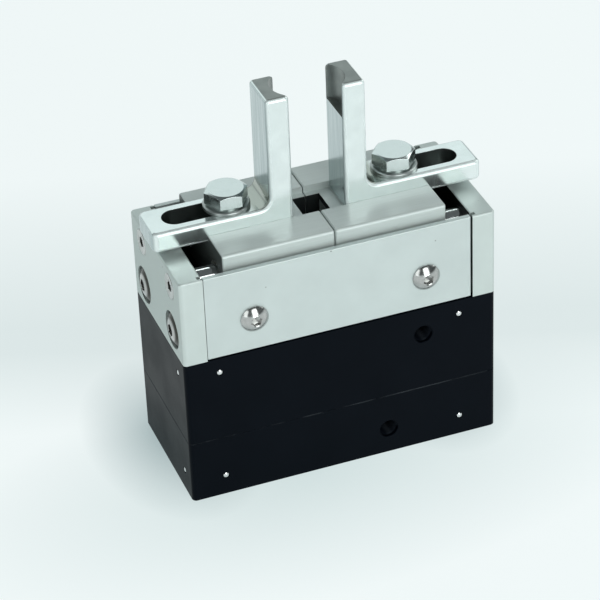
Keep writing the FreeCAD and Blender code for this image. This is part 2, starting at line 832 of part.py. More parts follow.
cover_left = size.cover_left_gap - plate_inner
cover_right = plate_inner - size.cover_right_gap
for label, side in (("front_cover", 1), ("rear_cover", -1)):
    cover = new_body(label)
    sketch = new_sketch(cover, "XZ_Plane", side * cover_inner)
    rectangle(sketch, cover_left, cover_right, block_top + size.cover_lift, housing_top)
    for side_x in BOTH:
        circle(sketch, (side_x * size.cover_screw_offset, cover_screw_level), cover_screw_hole)
    pad(cover, sketch, size.cover_thickness, reverse=side < 0)
    outer_face = -side * half_depth
    rim = edges(cover, lambda box: same(box.YMin, outer_face) and same(box.YMax, outer_face)
                and (box.XLength > cover_right.value or box.ZLength > size.strip_height.value * 2))
    chamfer(cover, rim, size.cover_bevel)

cover_screw = socket_screw(
    "cover_screw", size.cover_screw_radius, size.cover_screw_length,
    size.cover_screw_head_radius, size.cover_screw_head_height, size.cover_screw_socket)
head_rim = is_head_rim(size.cover_screw_head_radius, size.cover_screw_head_height)
fillet(cover_screw, edges(cover_screw, head_rim), size.cover_screw_dome)
group("cover_screws", cover_screw, [
    (side_x * size.cover_screw_offset, side_y * half_depth, cover_screw_level,
     "front" if side_y < 0 else "rear")
    for side_x in BOTH for side_y in BOTH])


# Piston, piston rod and cam plate

piston_radius = size.bore_radius - size.piston_play
seal_floor = piston_radius - size.piston_seal_depth
seal_middle = (piston_bottom + piston_top) / 2
seal_half = size.piston_seal_width / 2
groove_low = seal_middle - seal_half - size.seal_play
groove_high = seal_middle + seal_half + size.seal_play
spigot_bottom = piston_bottom + small_head_height + size.spigot_floor
spigot_bore = size.spigot_radius + size.piston_rod_play
bevel_radius = piston_radius - size.piston_bevel
piston = turned("piston", [
    (small_hole_radius, piston_bottom), (bevel_radius, piston_bottom),
    (piston_radius, piston_bottom + size.piston_bevel), (piston_radius, groove_low),
    (seal_floor, groove_low), (seal_floor, groove_high), (piston_radius, groove_high),
    (piston_radius, piston_top - size.piston_bevel), (bevel_radius, piston_top),
    (spigot_bore, piston_top), (spigot_bore, spigot_bottom), (small_hole_radius, spigot_bottom),
])
sink_depth = countersink_radius - small_hole_radius
revolve(piston, [(0, piston_bottom), (countersink_radius, piston_bottom),
                 (small_hole_radius, piston_bottom + sink_depth), (0, piston_bottom + sink_depth)], cut=True)

seal_inner = seal_floor + size.seal_play
seal_outer = size.bore_radius - size.seal_play
piston_seal = turned("piston_seal", [
    (seal_inner, seal_middle - seal_half), (seal_outer, seal_middle - seal_half),
    (seal_outer, seal_middle + seal_half), (seal_inner, seal_middle + seal_half),
])

piston_rod = turned("piston_rod", [
    (0, spigot_bottom), (size.spigot_radius, spigot_bottom), (size.spigot_radius, piston_top),
    (size.piston_rod_radius, piston_top), (size.piston_rod_radius, cam_bottom), (0, cam_bottom),
])
sketch = new_sketch(piston_rod, "XY_Plane", spigot_bottom)
circle(sketch, (0, 0), small_thread_radius)
screw_past_piston = size.piston_screw_length - (spigot_bottom - piston_bottom)
drill(piston_rod, sketch, small_thread_radius, screw_past_piston + size.hole_spare, reverse=True)
sketch = new_sketch(piston_rod, "XY_Plane", cam_bottom)
circle(sketch, (0, 0), small_thread_radius)
drill(piston_rod, sketch, small_thread_radius, size.cam_screw_grip + size.hole_spare)

piston_screw = countersunk_screw("piston_screw", size.piston_screw_length)
place(piston_screw, 0, 0, piston_bottom, FACING["down"])

# Two slots in the cam plate slope outwards and down: as the plate rises they push the pins apart
slope = size.jaw_stroke / size.piston_travel
slope_length = root(size.jaw_stroke * size.jaw_stroke + size.piston_travel * size.piston_travel)
flank = cam_reach * slope_length / size.piston_travel
cam_low_half = size.cam_pin_offset + size.jaw_stroke + cam_reach
cam_high_half = size.cam_pin_offset + flank - cam_reach * slope
flank_drop = (cam_low_half - size.cam_pin_offset - flank) / slope
overrun_x = size.cam_slot_overrun * size.jaw_stroke / slope_length
overrun_z = size.cam_slot_overrun * size.piston_travel / slope_length
drive_cam = new_body("drive_cam")
sketch = new_sketch(drive_cam, "XZ_Plane")
outline(sketch, [
    (-cam_low_half, cam_bottom), (cam_low_half, cam_bottom), (cam_low_half, pin_level - flank_drop),
    (cam_high_half, cam_top), (-cam_high_half, cam_top), (-cam_low_half, pin_level - flank_drop),
])
for side in BOTH:
    slot(sketch,
         (side * (size.cam_pin_offset - overrun_x), pin_level + overrun_z),
         (side * (size.cam_pin_offset + size.jaw_stroke + overrun_x),
          pin_level - size.piston_travel - overrun_z),
         size.cam_pin_radius + size.cam_slot_play)
pad(drive_cam, sketch, size.cam_thickness, symmetric=True)
sketch = new_sketch(drive_cam, "XY_Plane", cam_top)
circle(sketch, (0, 0), small_hole_radius)
head_bore = (size.cam_screw_head_radius + size.cam_screw_head_play, size.cam_screw_head_height)
drill(drive_cam, sketch, small_hole_radius, bore=head_bore)

cam_screw_seat = cam_top - size.cam_screw_head_height
cam_screw = socket_screw(
    "cam_screw", size.small_screw_radius, cam_screw_seat - cam_bottom + size.cam_screw_grip,
    size.cam_screw_head_radius, size.cam_screw_head_height, size.cam_screw_socket)
place(cam_screw, 0, 0, cam_screw_seat)


# Carriages: bushed blocks on the guide rods, grooved along the top for the fingers

left_carriage = new_body("left_carriage")
sketch = new_sketch(left_carriage, "XY_Plane", carriage_bottom)
rectangle(sketch, -carriage_outer, -carriage_inner, -carriage_side, carriage_side)
pad(left_carriage, sketch, carriage_top - carriage_bottom)


def is_strip_edge(box):
    return same(box.ZMin, carriage_top) and same(abs(box.YMin), carriage_side) and box.YLength < ON_EDGE


def is_strip_end(box):
    return same(box.ZMin, carriage_top) and box.XLength < ON_EDGE


fillet(left_carriage, edges(left_carriage, is_strip_edge), size.strip_round)
chamfer(left_carriage, edges(left_carriage, is_strip_end), size.carriage_bevel)
sketch = new_sketch(left_carriage, "XY_Plane", carriage_top)
rectangle(sketch, -carriage_outer, -carriage_inner, -groove_half, groove_half)
pocket(left_carriage, sketch, size.groove_depth)

# Cheeks under the carriage hold the cam pin on both sides of the cam plate
cheek_bottom = pin_level - size.cam_pin_radius - size.cheek_wall
cheek_half = size.cheek_length / 2
sketch = new_sketch(left_carriage, "XY_Plane", carriage_bottom)
rectangle(sketch, -size.cam_pin_offset - cheek_half, -size.cam_pin_offset + cheek_half,
          -cheek_outer, cheek_outer)
pad(left_carriage, sketch, carriage_bottom - cheek_bottom, reverse=True)
cheek_ends = edges(left_carriage, lambda box: same(box.ZMin, cheek_bottom) and box.XLength < ON_EDGE)
fillet(left_carriage, cheek_ends, size.cheek_round)

# The cam plate's slot, open to the middle, and the notch above it for the cam screw's key
cam_slot_end = bolt_offset - bolt_hole_radius - size.cam_slot_wall
cam_slot_roof = seat_level - size.seat_floor
sketch = new_sketch(left_carriage, "XY_Plane", cheek_bottom)
rectangle(sketch, -cam_slot_end, -carriage_inner, -cam_slot_half, cam_slot_half)
pocket(left_carriage, sketch, cam_slot_roof - cheek_bottom, reverse=True)
sketch = new_sketch(left_carriage, "XY_Plane", seat_level)
rectangle(sketch, -size.notch_length, -carriage_inner, -cam_slot_half, cam_slot_half)
pocket(left_carriage, sketch, size.seat_floor)

sketch = new_sketch(left_carriage, "XZ_Plane")
circle(sketch, (-size.cam_pin_offset, pin_level), size.cam_pin_radius + size.press_play)
pocket(left_carriage, sketch, 2 * cheek_outer, symmetric=True)
sketch = new_sketch(left_carriage, "YZ_Plane", -carriage_inner)
for side in BOTH:
    circle(sketch, (side * rod_side, rod_level), bush_radius + size.press_play)
pocket(left_carriage, sketch)
sketch = new_sketch(left_carriage, "XY_Plane", seat_level)
circle(sketch, (-bolt_offset, 0), bolt_hole_radius)
bolt_depth = size.bolt_length - size.washer_thickness - size.foot_thickness
drill(left_carriage, sketch, bolt_hole_radius, bolt_depth + size.bolt_hole_spare)
mirrored("right_carriage", left_carriage)

bush_hole = size.guide_rod_radius + size.bush_play
bush_half = size.bush_length / 2
carriage_bush = turned("carriage_bush", [
    (bush_hole, -bush_half), (bush_radius, -bush_half), (bush_radius, bush_half), (bush_hole, bush_half)])
outer_bush = carriage_outer - size.bush_recess - bush_half
inner_bush = carriage_inner + size.bush_recess + bush_half
left_bushes = group("left_carriage_bushes", carriage_bush, [
    (-offset, side * rod_side, rod_level, "left") for offset in (outer_bush, inner_bush) for side in BOTH])
mirrored("right_carriage_bushes", left_bushes)

pin_half = cheek_outer - size.pin_recess
left_cam_pin = turned("left_cam_pin", [
    (0, -pin_half), (size.cam_pin_radius, -pin_half), (size.cam_pin_radius, pin_half), (0, pin_half)])
place(left_cam_pin, -size.cam_pin_offset, 0, pin_level, FACING["front"])
mirrored("right_cam_pin", left_cam_pin)


# Fingers: L-shaped, with a slotted foot in the carriage's groove and a round nest at the tip

left_finger = new_body("left_finger")
sketch = new_sketch(left_finger, "XZ_Plane")
outline(sketch, [
    (-foot_end, seat_level), (-finger_inner, seat_level), (-finger_inner, finger_tip),
    (-upright_outer, finger_tip), (-upright_outer, foot_top), (-foot_end, foot_top),
])
pad(left_finger, sketch, size.finger_width, symmetric=True)


def is_inside_corner(box):
    return box.YLength > ON_EDGE and same(box.XMin, -upright_outer) and same(box.ZMin, foot_top)


def is_cross_edge(box):
    return box.XLength < ON_EDGE and box.ZLength < ON_EDGE


def is_finger_edge(box):
    """Every outer edge; the two cross edges where the inside fillet ends stay smooth."""
    fillet_foot = same(box.XMin, -upright_outer - size.finger_fillet) and same(box.ZMin, foot_top)
    fillet_head = same(box.XMin, -upright_outer) and same(box.ZMin, foot_top + size.finger_fillet)
    return not (is_cross_edge(box) and (fillet_foot or fillet_head))


fillet(left_finger, edges(left_finger, is_inside_corner), size.finger_fillet)
fillet(left_finger, edges(left_finger, is_finger_edge), size.finger_edge)
slot_radius = size.finger_slot_width / 2
sketch = new_sketch(left_finger, "XY_Plane", foot_top)
slot(sketch, (-foot_end + size.finger_slot_wall + slot_radius, 0),
     (size.finger_slot_gap - bolt_offset, 0), slot_radius)
pocket(left_finger, sketch)
sketch = new_sketch(left_finger, "XY_Plane", finger_tip)
circle(sketch, (size.nest_radius - size.nest_depth - finger_inner, 0), size.nest_radius)
pocket(left_finger, sketch, size.nest_height)
mirrored("right_finger", left_finger)


# Finger bolts and washers

def finger_bolt(label, offset, turn):
    """A hexagon bolt: its head's corners are turned off at 30 degrees and it bears on a round face."""
    body = new_body(label)
    sketch = new_sketch(body, "XY_Plane", size.bolt_face_height)
    hexagon(sketch, size.bolt_flats)
    pad(body, sketch, size.bolt_head_height - size.bolt_face_height)
    crown = size.bolt_crown_radius
    corner = size.bolt_flats
    revolve(body, [
        (crown, size.bolt_head_height), (corner, size.bolt_head_height),
        (corner, size.bolt_head_height - (corner - crown) * CROWN_SLOPE),
    ], cut=True)
    revolve(body, [
        (0, size.bolt_face_height), (size.bolt_face_radius, size.bolt_face_height),
        (size.bolt_face_radius, 0), (size.bolt_radius, 0),
        (size.bolt_radius, size.screw_tip_bevel - size.bolt_length),
        (size.bolt_radius - size.screw_tip_bevel, -size.bolt_length), (0, -size.bolt_length),
    ])
    place(body, offset, 0, foot_top + size.washer_thickness, FreeCAD.Rotation(UP, turn.value))


def bolt_washer(label, offset):
    bevel = size.washer_bevel
    body = turned(label, [
        (size.washer_hole_radius, 0), (size.washer_radius, 0),
        (size.washer_radius, size.washer_thickness - bevel),
        (size.washer_radius - bevel, size.washer_thickness),
        (size.washer_hole_radius, size.washer_thickness),
    ])
    place(body, offset, 0, foot_top)


CROWN_SLOPE = round(math.tan(math.radians(30)), 6)
finger_bolt("left_finger_bolt", -bolt_offset, size.left_bolt_turn)
finger_bolt("right_finger_bolt", bolt_offset, size.right_bolt_turn)
bolt_washer("left_bolt_washer", -bolt_offset)
bolt_washer("right_bolt_washer", bolt_offset)


# Check every object, then write each sub-part

SUB_PARTS = [
    "base_block", "cylinder_block", "joint_seal", "rod_bush", "rod_seal", "ball_plugs", "body_screws",
    "guide_frame", "left_end_plate", "right_end_plate", "end_plate_screws", "front_cover", "rear_cover",
    "cover_screws", "front_guide_rod", "rear_guide_rod", "rod_screws",
    "piston", "piston_seal", "piston_rod", "piston_screw", "drive_cam", "cam_screw",
    "left_carriage", "left_carriage_bushes", "left_cam_pin", "left_finger_bolt", "left_bolt_washer",
    "right_carriage", "right_carriage_bushes", "right_cam_pin", "right_finger_bolt", "right_bolt_washer",
    "left_finger", "right_finger",
]

doc.recompute()
for item in doc.Objects:
    if "Invalid" in item.State or "Error" in item.State:
        raise RuntimeError(f"{item.Label} failed: {item.State}")
for label in SUB_PARTS:
    shape = doc.getObject(label).Shape
    if shape.isNull() or not shape.isValid() or not shape.Solids:
        raise RuntimeError(f"{label} has no valid shape")

os.makedirs("parts", exist_ok=True)
for label in SUB_PARTS:
    doc.getObject(label).Shape.exportStep(f"parts/{label}.step")
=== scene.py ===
import bmesh
import bpy
import json
import math
from mathutils import Matrix, Vector


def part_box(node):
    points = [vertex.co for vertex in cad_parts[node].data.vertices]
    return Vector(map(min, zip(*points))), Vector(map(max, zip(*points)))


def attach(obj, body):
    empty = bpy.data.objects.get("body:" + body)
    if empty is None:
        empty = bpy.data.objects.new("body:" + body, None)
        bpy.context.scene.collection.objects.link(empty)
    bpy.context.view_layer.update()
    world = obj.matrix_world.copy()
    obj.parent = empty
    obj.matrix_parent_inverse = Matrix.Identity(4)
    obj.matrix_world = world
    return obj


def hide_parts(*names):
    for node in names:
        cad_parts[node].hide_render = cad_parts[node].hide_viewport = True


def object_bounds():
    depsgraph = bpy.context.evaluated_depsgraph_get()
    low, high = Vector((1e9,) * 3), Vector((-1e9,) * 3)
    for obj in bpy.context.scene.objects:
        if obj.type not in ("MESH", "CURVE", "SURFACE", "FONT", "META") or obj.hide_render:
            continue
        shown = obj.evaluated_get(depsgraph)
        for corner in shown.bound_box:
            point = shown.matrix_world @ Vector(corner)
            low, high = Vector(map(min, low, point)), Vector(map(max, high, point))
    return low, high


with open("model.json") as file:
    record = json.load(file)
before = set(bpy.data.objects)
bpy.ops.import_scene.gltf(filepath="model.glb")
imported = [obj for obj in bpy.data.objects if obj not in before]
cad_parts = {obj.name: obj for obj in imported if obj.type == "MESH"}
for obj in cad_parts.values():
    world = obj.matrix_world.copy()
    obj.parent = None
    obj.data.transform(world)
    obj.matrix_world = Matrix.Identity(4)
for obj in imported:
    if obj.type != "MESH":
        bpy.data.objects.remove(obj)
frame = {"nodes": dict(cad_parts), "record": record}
cad_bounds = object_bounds()

# Black blocks: the base and the cylinder block are sawn and milled from aluminium bar, black
# anodised, and screwed together from below. Their edges are only just broken and are faintly
# rubbed along the joint, and the faces keep a fine satin grain.
MM = 0.001
BODY_OF = {node: body for body, nodes in frame["record"]["behaviour"]["bodies"].items() for node in nodes}
WELD = 0.0005 * MM
FLAT_ANGLE = math.radians(0.6)
SHARP_ANGLE = math.radians(24)
BROKEN_EDGE = 0.12 * MM
EDGE_SEGMENTS = 3
MASK_BLEND = 0.04 * MM
JOINT_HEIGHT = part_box("base_block")[1].z
RUBBED_WIDTH = 0.16 * MM
RUBBED_METAL = (0.035, 0.04, 0.045)


def add_node(tree, kind, inputs=None, **settings):
    """A shader node whose inputs are given as numbers or as the sockets that feed them."""
    made = tree.nodes.new(kind)
    for name, value in settings.items():
        setattr(made, name, value)
    for key, value in (inputs or {}).items():
        if isinstance(value, bpy.types.NodeSocket):
            tree.links.new(value, made.inputs[key])
        else:
            made.inputs[key].default_value = value
    return made


def new_group(name, inputs, outputs):
    """An empty node group with float inputs (name: default) and named float outputs."""
    tree = bpy.data.node_groups.new(name, "ShaderNodeTree")
    for label, value in inputs.items():
        socket = tree.interface.new_socket(label, in_out="INPUT", socket_type="NodeSocketFloat")
        socket.default_value = value
    for label in outputs:
        tree.interface.new_socket(label, in_out="OUTPUT", socket_type="NodeSocketFloat")
    return tree, add_node(tree, "NodeGroupInput").outputs, add_node(tree, "NodeGroupOutput").inputs


def math_node(tree, operation, first, second=0.0):
    """The result of one sum on numbers or sockets."""
    return add_node(tree, "ShaderNodeMath", {0: first, 1: second}, operation=operation).outputs[0]


def vector_node(tree, operation, *vectors):
    """The outputs of one sum on vectors or sockets."""
    return add_node(tree, "ShaderNodeVectorMath", dict(enumerate(vectors)), operation=operation).outputs


def split(tree, vector):
    """The X, Y and Z of a vector."""
    return add_node(tree, "ShaderNodeSeparateXYZ", {0: vector}).outputs


def joined(tree, x, y, z=0.0):
    """A vector from its parts."""
    return add_node(tree, "ShaderNodeCombineXYZ", {0: x, 1: y, 2: z}).outputs[0]


def object_place(tree):
    """Places in the piece's own frame, in metres, so that a finish moves with its piece."""
    return add_node(tree, "ShaderNodeTexCoord").outputs["Object"]


def noise(tree, place, per_metre, detail=2.0):
    """Cloudy noise between 0 and 1."""
    inputs = {"Vector": place, "Scale": per_metre, "Detail": detail}
    return add_node(tree, "ShaderNodeTexNoise", inputs).outputs["Fac"]


def remap(tree, value, low, high, new_low=0.0, new_high=1.0):
    """A value moved from one range to another, and held at the ends."""
    inputs = {"Value": value, "From Min": low, "From Max": high, "To Min": new_low, "To Max": new_high}
    return add_node(tree, "ShaderNodeMapRange", inputs).outputs["Result"]


def grain_group():
    """Fine etched grain with slow cloudy patches, as anodising leaves it."""
    tree, given, result = new_group("etched_grain", {"Grain per m": 9000.0, "Patches per m": 90.0},
                                    ("Height", "Patch"))
    place = object_place(tree)
    tree.links.new(noise(tree, place, given["Grain per m"]), result["Height"])
    patch = noise(tree, place, given["Patches per m"], 4.0)
    tree.links.new(remap(tree, patch, 0.3, 0.7), result["Patch"])
    return tree


ETCHED_GRAIN = grain_group()


def use_group(tree, group, inputs=None):
    """The outputs of a node group, with this material's own values for its inputs."""
    made = add_node(tree, "ShaderNodeGroup", node_tree=group)
    for key, value in (inputs or {}).items():
        made.inputs[key].default_value = value
    return made.outputs


def new_material(name):
    """An empty material with its shader, ready for a finish."""
    material = bpy.data.materials.new(name)
    material.use_nodes = True
    tree = material.node_tree
    return material, tree, tree.nodes["Principled BSDF"]


def mix_colours(tree, share, first, second):
    """The first colour where the share is 0 and the second where it is 1."""
    made = add_node(tree, "ShaderNodeMix", data_type="RGBA")
    tree.links.new(share, made.inputs["Factor"])
    for key, colour in ((6, first), (7, second)):
        if isinstance(colour, bpy.types.NodeSocket):
            tree.links.new(colour, made.inputs[key])
        else:
            made.inputs[key].default_value = (*colour, 1.0)
    return made.outputs[2]


def bump(tree, shader, height, depth):
    """Fine relief in the shader, as deep as this where the height goes from 0 to 1."""
    made = add_node(tree, "ShaderNodeBump", {"Height": height, "Distance": depth, "Strength": 1.0})
    tree.links.new(made.outputs["Normal"], shader.inputs["Normal"])


def over(tree, value, limit):
    """1 over a limit and 0 under it, with a short blend between."""
    return remap(tree, value, limit - MASK_BLEND, limit + MASK_BLEND)


def under(tree, value, limit):
    """1 under a limit and 0 over it, with a short blend between."""
    return remap(tree, value, limit + MASK_BLEND, limit - MASK_BLEND)


def all_of(tree, first, *others):
    """1 where every mask is 1."""
    for other in others:
        first = math_node(tree, "MULTIPLY", first, other)
    return first


def black_anodised():
    material, tree, shader = new_material("black_anodised_satin")
    grain = use_group(tree, ETCHED_GRAIN)
    black = mix_colours(tree, grain["Patch"], (0.0008, 0.0016, 0.0036), (0.0014, 0.0024, 0.0048))
    place = object_place(tree)
    height = split(tree, place)["Z"]
    breaks = remap(tree, noise(tree, place, 140.0, 3.0), 0.42, 0.62)
    rubbed = all_of(tree, over(tree, height, JOINT_HEIGHT - RUBBED_WIDTH),
                    under(tree, height, JOINT_HEIGHT + RUBBED_WIDTH), breaks)
    tree.links.new(mix_colours(tree, rubbed, black, RUBBED_METAL), shader.inputs["Base Color"])
    tree.links.new(remap(tree, grain["Patch"], 0.0, 1.0, 0.36, 0.44), shader.inputs["Roughness"])
    shader.inputs["Specular IOR Level"].default_value = 0.07
    shader.inputs["Specular Tint"].default_value = (0.72, 0.86, 1.0, 1.0)
    bump(tree, shader, grain["Height"], 0.006 * MM)
    return material


def stand_for(piece, node, material):
    """The piece takes a CAD node's place: its body and its finish."""
    piece.data.materials.clear()
    piece.data.materials.append(material)
    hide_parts(node)
    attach(piece, BODY_OF[node])


def new_piece(name, mesh):
    """An object in the scene with this mesh."""
    piece = bpy.data.objects.new(name, mesh)
    bpy.context.scene.collection.objects.link(piece)
    return piece


def rounded_piece(node, rounding, material, source=None):
    """A CAD piece, or a mesh built for it, with its flats joined up and its sharp edges rounded."""
    work = bmesh.new()
    work.from_mesh(source or frame["nodes"][node].data)
    bmesh.ops.remove_doubles(work, verts=work.verts, dist=WELD)
    bmesh.ops.dissolve_limit(work, angle_limit=FLAT_ANGLE, verts=work.verts, edges=work.edges)
    mesh = bpy.data.meshes.new(f"{node}_finished")
    work.to_mesh(mesh)
    work.free()
    mesh.shade_smooth()
    piece = new_piece(f"{node}_finished", mesh)
    edges = piece.modifiers.new("rounded_edges", "BEVEL")
    edges.width = rounding
    edges.segments = EDGE_SEGMENTS
    edges.limit_method = "ANGLE"
    edges.angle_limit = SHARP_ANGLE
    flats = piece.modifiers.new("flat_faces", "WEIGHTED_NORMAL")
    flats.keep_sharp = True
    stand_for(piece, node, material)


BLACK = black_anodised()
for block in ("base_block", "cylinder_block"):
    rounded_piece(block, BROKEN_EDGE, BLACK)


# Port threads: both air ports are tapped in the aluminium and anodised with the blocks. Each
# thread is a ridge wound along the wall of its hole, from just inside the mouth.
PITCH = 0.8 * MM
THREAD_DEPTH = 0.54 * PITCH
THREAD_HALF_WIDTH = 0.45 * PITCH
THREADED_SHARE = 0.75
MOUTH_DEPTH = 0.6 * MM
TURN_STEPS = 40


def thread_mesh(name, radius, length):
    """A ridge of triangular section, wound along Z from height 0 down to the length."""
    work = bmesh.new()
    section = ((radius, THREAD_HALF_WIDTH), (radius - THREAD_DEPTH, 0.0), (radius, -THREAD_HALF_WIDTH))
    steps = round(length / PITCH * TURN_STEPS)
    rows = []
    for number in range(steps + 1):
        angle = 2 * math.pi * number / TURN_STEPS
        height = -PITCH * number / TURN_STEPS
        row = []
        for reach, rise in section:
            row.append(work.verts.new((reach * math.cos(angle), reach * math.sin(angle), height + rise)))
        rows.append(row)
    for here, following in zip(rows, rows[1:]):
        for side in range(3):
            far = (side + 1) % 3
            work.faces.new((here[side], here[far], following[far], following[side]))
    work.faces.new(rows[0])
    work.faces.new(rows[-1])
    bmesh.ops.recalc_face_normals(work, faces=work.faces)
    mesh = bpy.data.meshes.new(name)
    work.to_mesh(mesh)
    work.free()
    return mesh


for mount in frame["record"]["mounts"]:
    if mount["kind"] == "threaded_hole":
        hole_radius, hole_length = mount["dims"]["r_mm"] * MM, mount["dims"]["length_mm"] * MM
        outwards = Vector(mount["axis"])
        mouth = Vector(mount["pos_m"]) + outwards * (hole_length / 2 - MOUTH_DEPTH)
        thread = thread_mesh(f"{mount['name']}_thread", hole_radius, THREADED_SHARE * hole_length)
        turned = Vector((0, 0, 1)).rotation_difference(outwards).to_matrix().to_4x4()
        thread.transform(Matrix.Translation(mouth) @ turned)
        thread.materials.append(BLACK)
        ridge = new_piece(thread.name, thread)
        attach(ridge, BODY_OF["cylinder_block"])


# Ball plugs: hardened and polished steel balls, six in all. They are pressed into the
# cross-drilled airways of the blocks and stay just under the face.
def polished_steel():
    material, tree, shader = new_material("polished_steel")
    grain = use_group(tree, ETCHED_GRAIN, {"Grain per m": 4000.0, "Patches per m": 900.0})
    tree.links.new(mix_colours(tree, grain["Patch"], (0.66, 0.67, 0.67), (0.76, 0.77, 0.77)),
                   shader.inputs["Base Color"])
    tree.links.new(remap(tree, grain["Patch"], 0.0, 1.0, 0.05, 0.11), shader.inputs["Roughness"])
    shader.inputs["Metallic"].default_value = 1.0
    return material


def refinish(node, material):
    """A CAD piece that keeps its own mesh and gets its finish."""
    frame["nodes"][node].data.materials.clear()
    frame["nodes"][node].data.materials.append(material)


POLISHED = polished_steel()
refinish("ball_plugs", POLISHED)


# Body screws: four long socket cap screws of bright stainless steel, put in from below to hold
# the blocks to the guide frame. A screw is built ring by ring, from its tip to its socket.
SIDES = 72
CREASE_ANGLE = math.radians(38)
TIP_CHAMFER = 0.4 * MM
SOCKET_CONE_WIDTH = 0.06 * MM
SOCKET_CONE_DEPTH = 0.12 * MM
STEEL_DARK = (0.42, 0.42, 0.41)
STEEL_LIGHT = (0.52, 0.52, 0.51)
BODY_HEAD_RADIUS = 3.5 * MM
BODY_HEAD_HEIGHT = 4.0 * MM


def hexagon_radius(apothem, angle):
    """Distance to a hexagon's side at an angle; a corner lies at angle 0."""
    sector = math.pi / 3
    return apothem / math.cos(angle % sector - sector / 2)


def ring_mesh(name, rings):
    """A closed mesh through rings (height, radius) or (height, radius, apothem), first to last.
    An apothem cuts the ring to a hexagon; a ring of radius 0 closes an end."""
    work = bmesh.new()
    rows = []
    for height, radius, *flats in rings:
        if radius == 0:
            rows.append([work.verts.new((0, 0, height))] * SIDES)
            continue
        row = []
        for side in range(SIDES):
            angle = 2 * math.pi * side / SIDES
            reach = min(radius, hexagon_radius(flats[0], angle)) if flats else radius
            row.append(work.verts.new((reach * math.cos(angle), reach * math.sin(angle), height)))
        rows.append(row)
    for low, high in zip(rows, rows[1:]):
        for side in range(SIDES):
            following = (side + 1) % SIDES
            corners = [low[side], low[following], high[following], high[side]]
            work.faces.new(list(dict.fromkeys(corners)))
    bmesh.ops.recalc_face_normals(work, faces=work.faces)
    mesh = bpy.data.meshes.new(name)
    work.to_mesh(mesh)
    work.free()
    mesh.shade_smooth()
    mesh.set_sharp_from_angle(angle=CREASE_ANGLE)
    return mesh


def arc_rings(centre_height, centre_radius, radius, start, end, steps):
    """Rings along an arc of the outline; angles are degrees up from straight outwards."""
    rings = []
    for step in range(steps + 1):
        angle = math.radians(start + (end - start) * step / steps)
        rings.append((centre_height + radius * math.sin(angle), centre_radius + radius * math.cos(angle)))
    return rings


def socket_rings(top, apothem, depth):
    """The hexagon socket of a screw: a small cone at its mouth, flat sides and a drilled bottom."""
    corner = apothem * 2 / math.sqrt(3)
    drill_radius = apothem * 0.96
    drill_point = apothem * 0.5
    return [
        (top, corner + SOCKET_CONE_WIDTH), (top - SOCKET_CONE_DEPTH, corner, apothem),
        (top - depth, corner, apothem), (top - depth, drill_radius),
        (top - depth - drill_point, 0),
    ]


def shank_rings(radius, length):
    """The plain shank of a screw, from its tip up to the bearing face at height 0."""
    return [(-length, 0), (-length, radius - TIP_CHAMFER), (TIP_CHAMFER - length, radius), (0, radius)]


def stainless():
    material, tree, shader = new_material("stainless_steel")
    grain = use_group(tree, ETCHED_GRAIN, {"Grain per m": 5000.0, "Patches per m": 500.0})
    tree.links.new(mix_colours(tree, grain["Patch"], STEEL_DARK, STEEL_LIGHT), shader.inputs["Base Color"])
    tree.links.new(remap(tree, grain["Patch"], 0.0, 1.0, 0.15, 0.21), shader.inputs["Roughness"])
    shader.inputs["Metallic"].default_value = 1.0
    bump(tree, shader, grain["Height"], 0.002 * MM)
    return material


STAINLESS = stainless()


def set_screws(node, rings, places, turns, finish):
    """Screws of one outline at places (x, y, z, direction of the head), each turned a little."""
    for number, (x, y, z, facing) in enumerate(places, start=1):
        mesh = ring_mesh(f"{node}_{number}", rings)
        aim = Vector((0, 0, 1)).rotation_difference(Vector(facing)).to_matrix().to_4x4()
        spin = Matrix.Rotation(math.radians(turns[number - 1]), 4, "Z")
        mesh.transform(Matrix.Translation((x, y, z)) @ aim @ spin)
        stand_for(new_piece(f"{node}_{number}", mesh), node, finish)


def four(x, y, z, along):
    """Places of four like screws, mirrored about the middle, heads along X, Y or down."""
    places = []
    for side_x in (-1, 1):
        for side_y in (-1, 1):
            facing = {"x": (side_x, 0, 0), "y": (0, side_y, 0), "down": (0, 0, -1)}[along]
            places.append((side_x * x, side_y * y, z, facing))
    return places


def cap_screw_rings(radius, length, head_radius, head_height, apothem, socket_depth):
    """A socket cap screw, its bearing face at height 0 and its tip below."""
    chamfer = 0.15 * MM
    rim = 0.3 * MM
    return [
        *shank_rings(radius, length), (0, head_radius - chamfer), (chamfer, head_radius),
        *arc_rings(head_height - rim, head_radius - rim, rim, 0, 90, 5),
        *socket_rings(head_height, apothem, socket_depth),
    ]


screw_low, screw_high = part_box("body_screws")
cap_rings = cap_screw_rings(
    radius=2.0 * MM, length=screw_high.z - screw_low.z - BODY_HEAD_HEIGHT, head_radius=BODY_HEAD_RADIUS,
    head_height=BODY_HEAD_HEIGHT, apothem=1.5 * MM, socket_depth=2.0 * MM)
places = four(screw_high.x - BODY_HEAD_RADIUS, screw_high.y - BODY_HEAD_RADIUS,
              screw_low.z + BODY_HEAD_HEIGHT, "down")
set_screws("body_screws", cap_rings, places, (7, 31, 48, 19), STAINLESS)


# Inside the body: rubber seals, bronze bushes, a turned aluminium piston on a polished steel rod,
# the cross pins and two screws. They are pressed, slid or screwed into place and stay nearly
# hidden, so the CAD pieces keep their meshes and get their finishes.
def rubber():
    material, tree, shader = new_material("seal_rubber")
    grain = use_group(tree, ETCHED_GRAIN, {"Grain per m": 6000.0})
    tree.links.new(mix_colours(tree, grain["Patch"], (0.012, 0.012, 0.012), (0.022, 0.022, 0.022)),
                   shader.inputs["Base Color"])
    shader.inputs["Roughness"].default_value = 0.7
    bump(tree, shader, grain["Height"], 0.01 * MM)
    return material


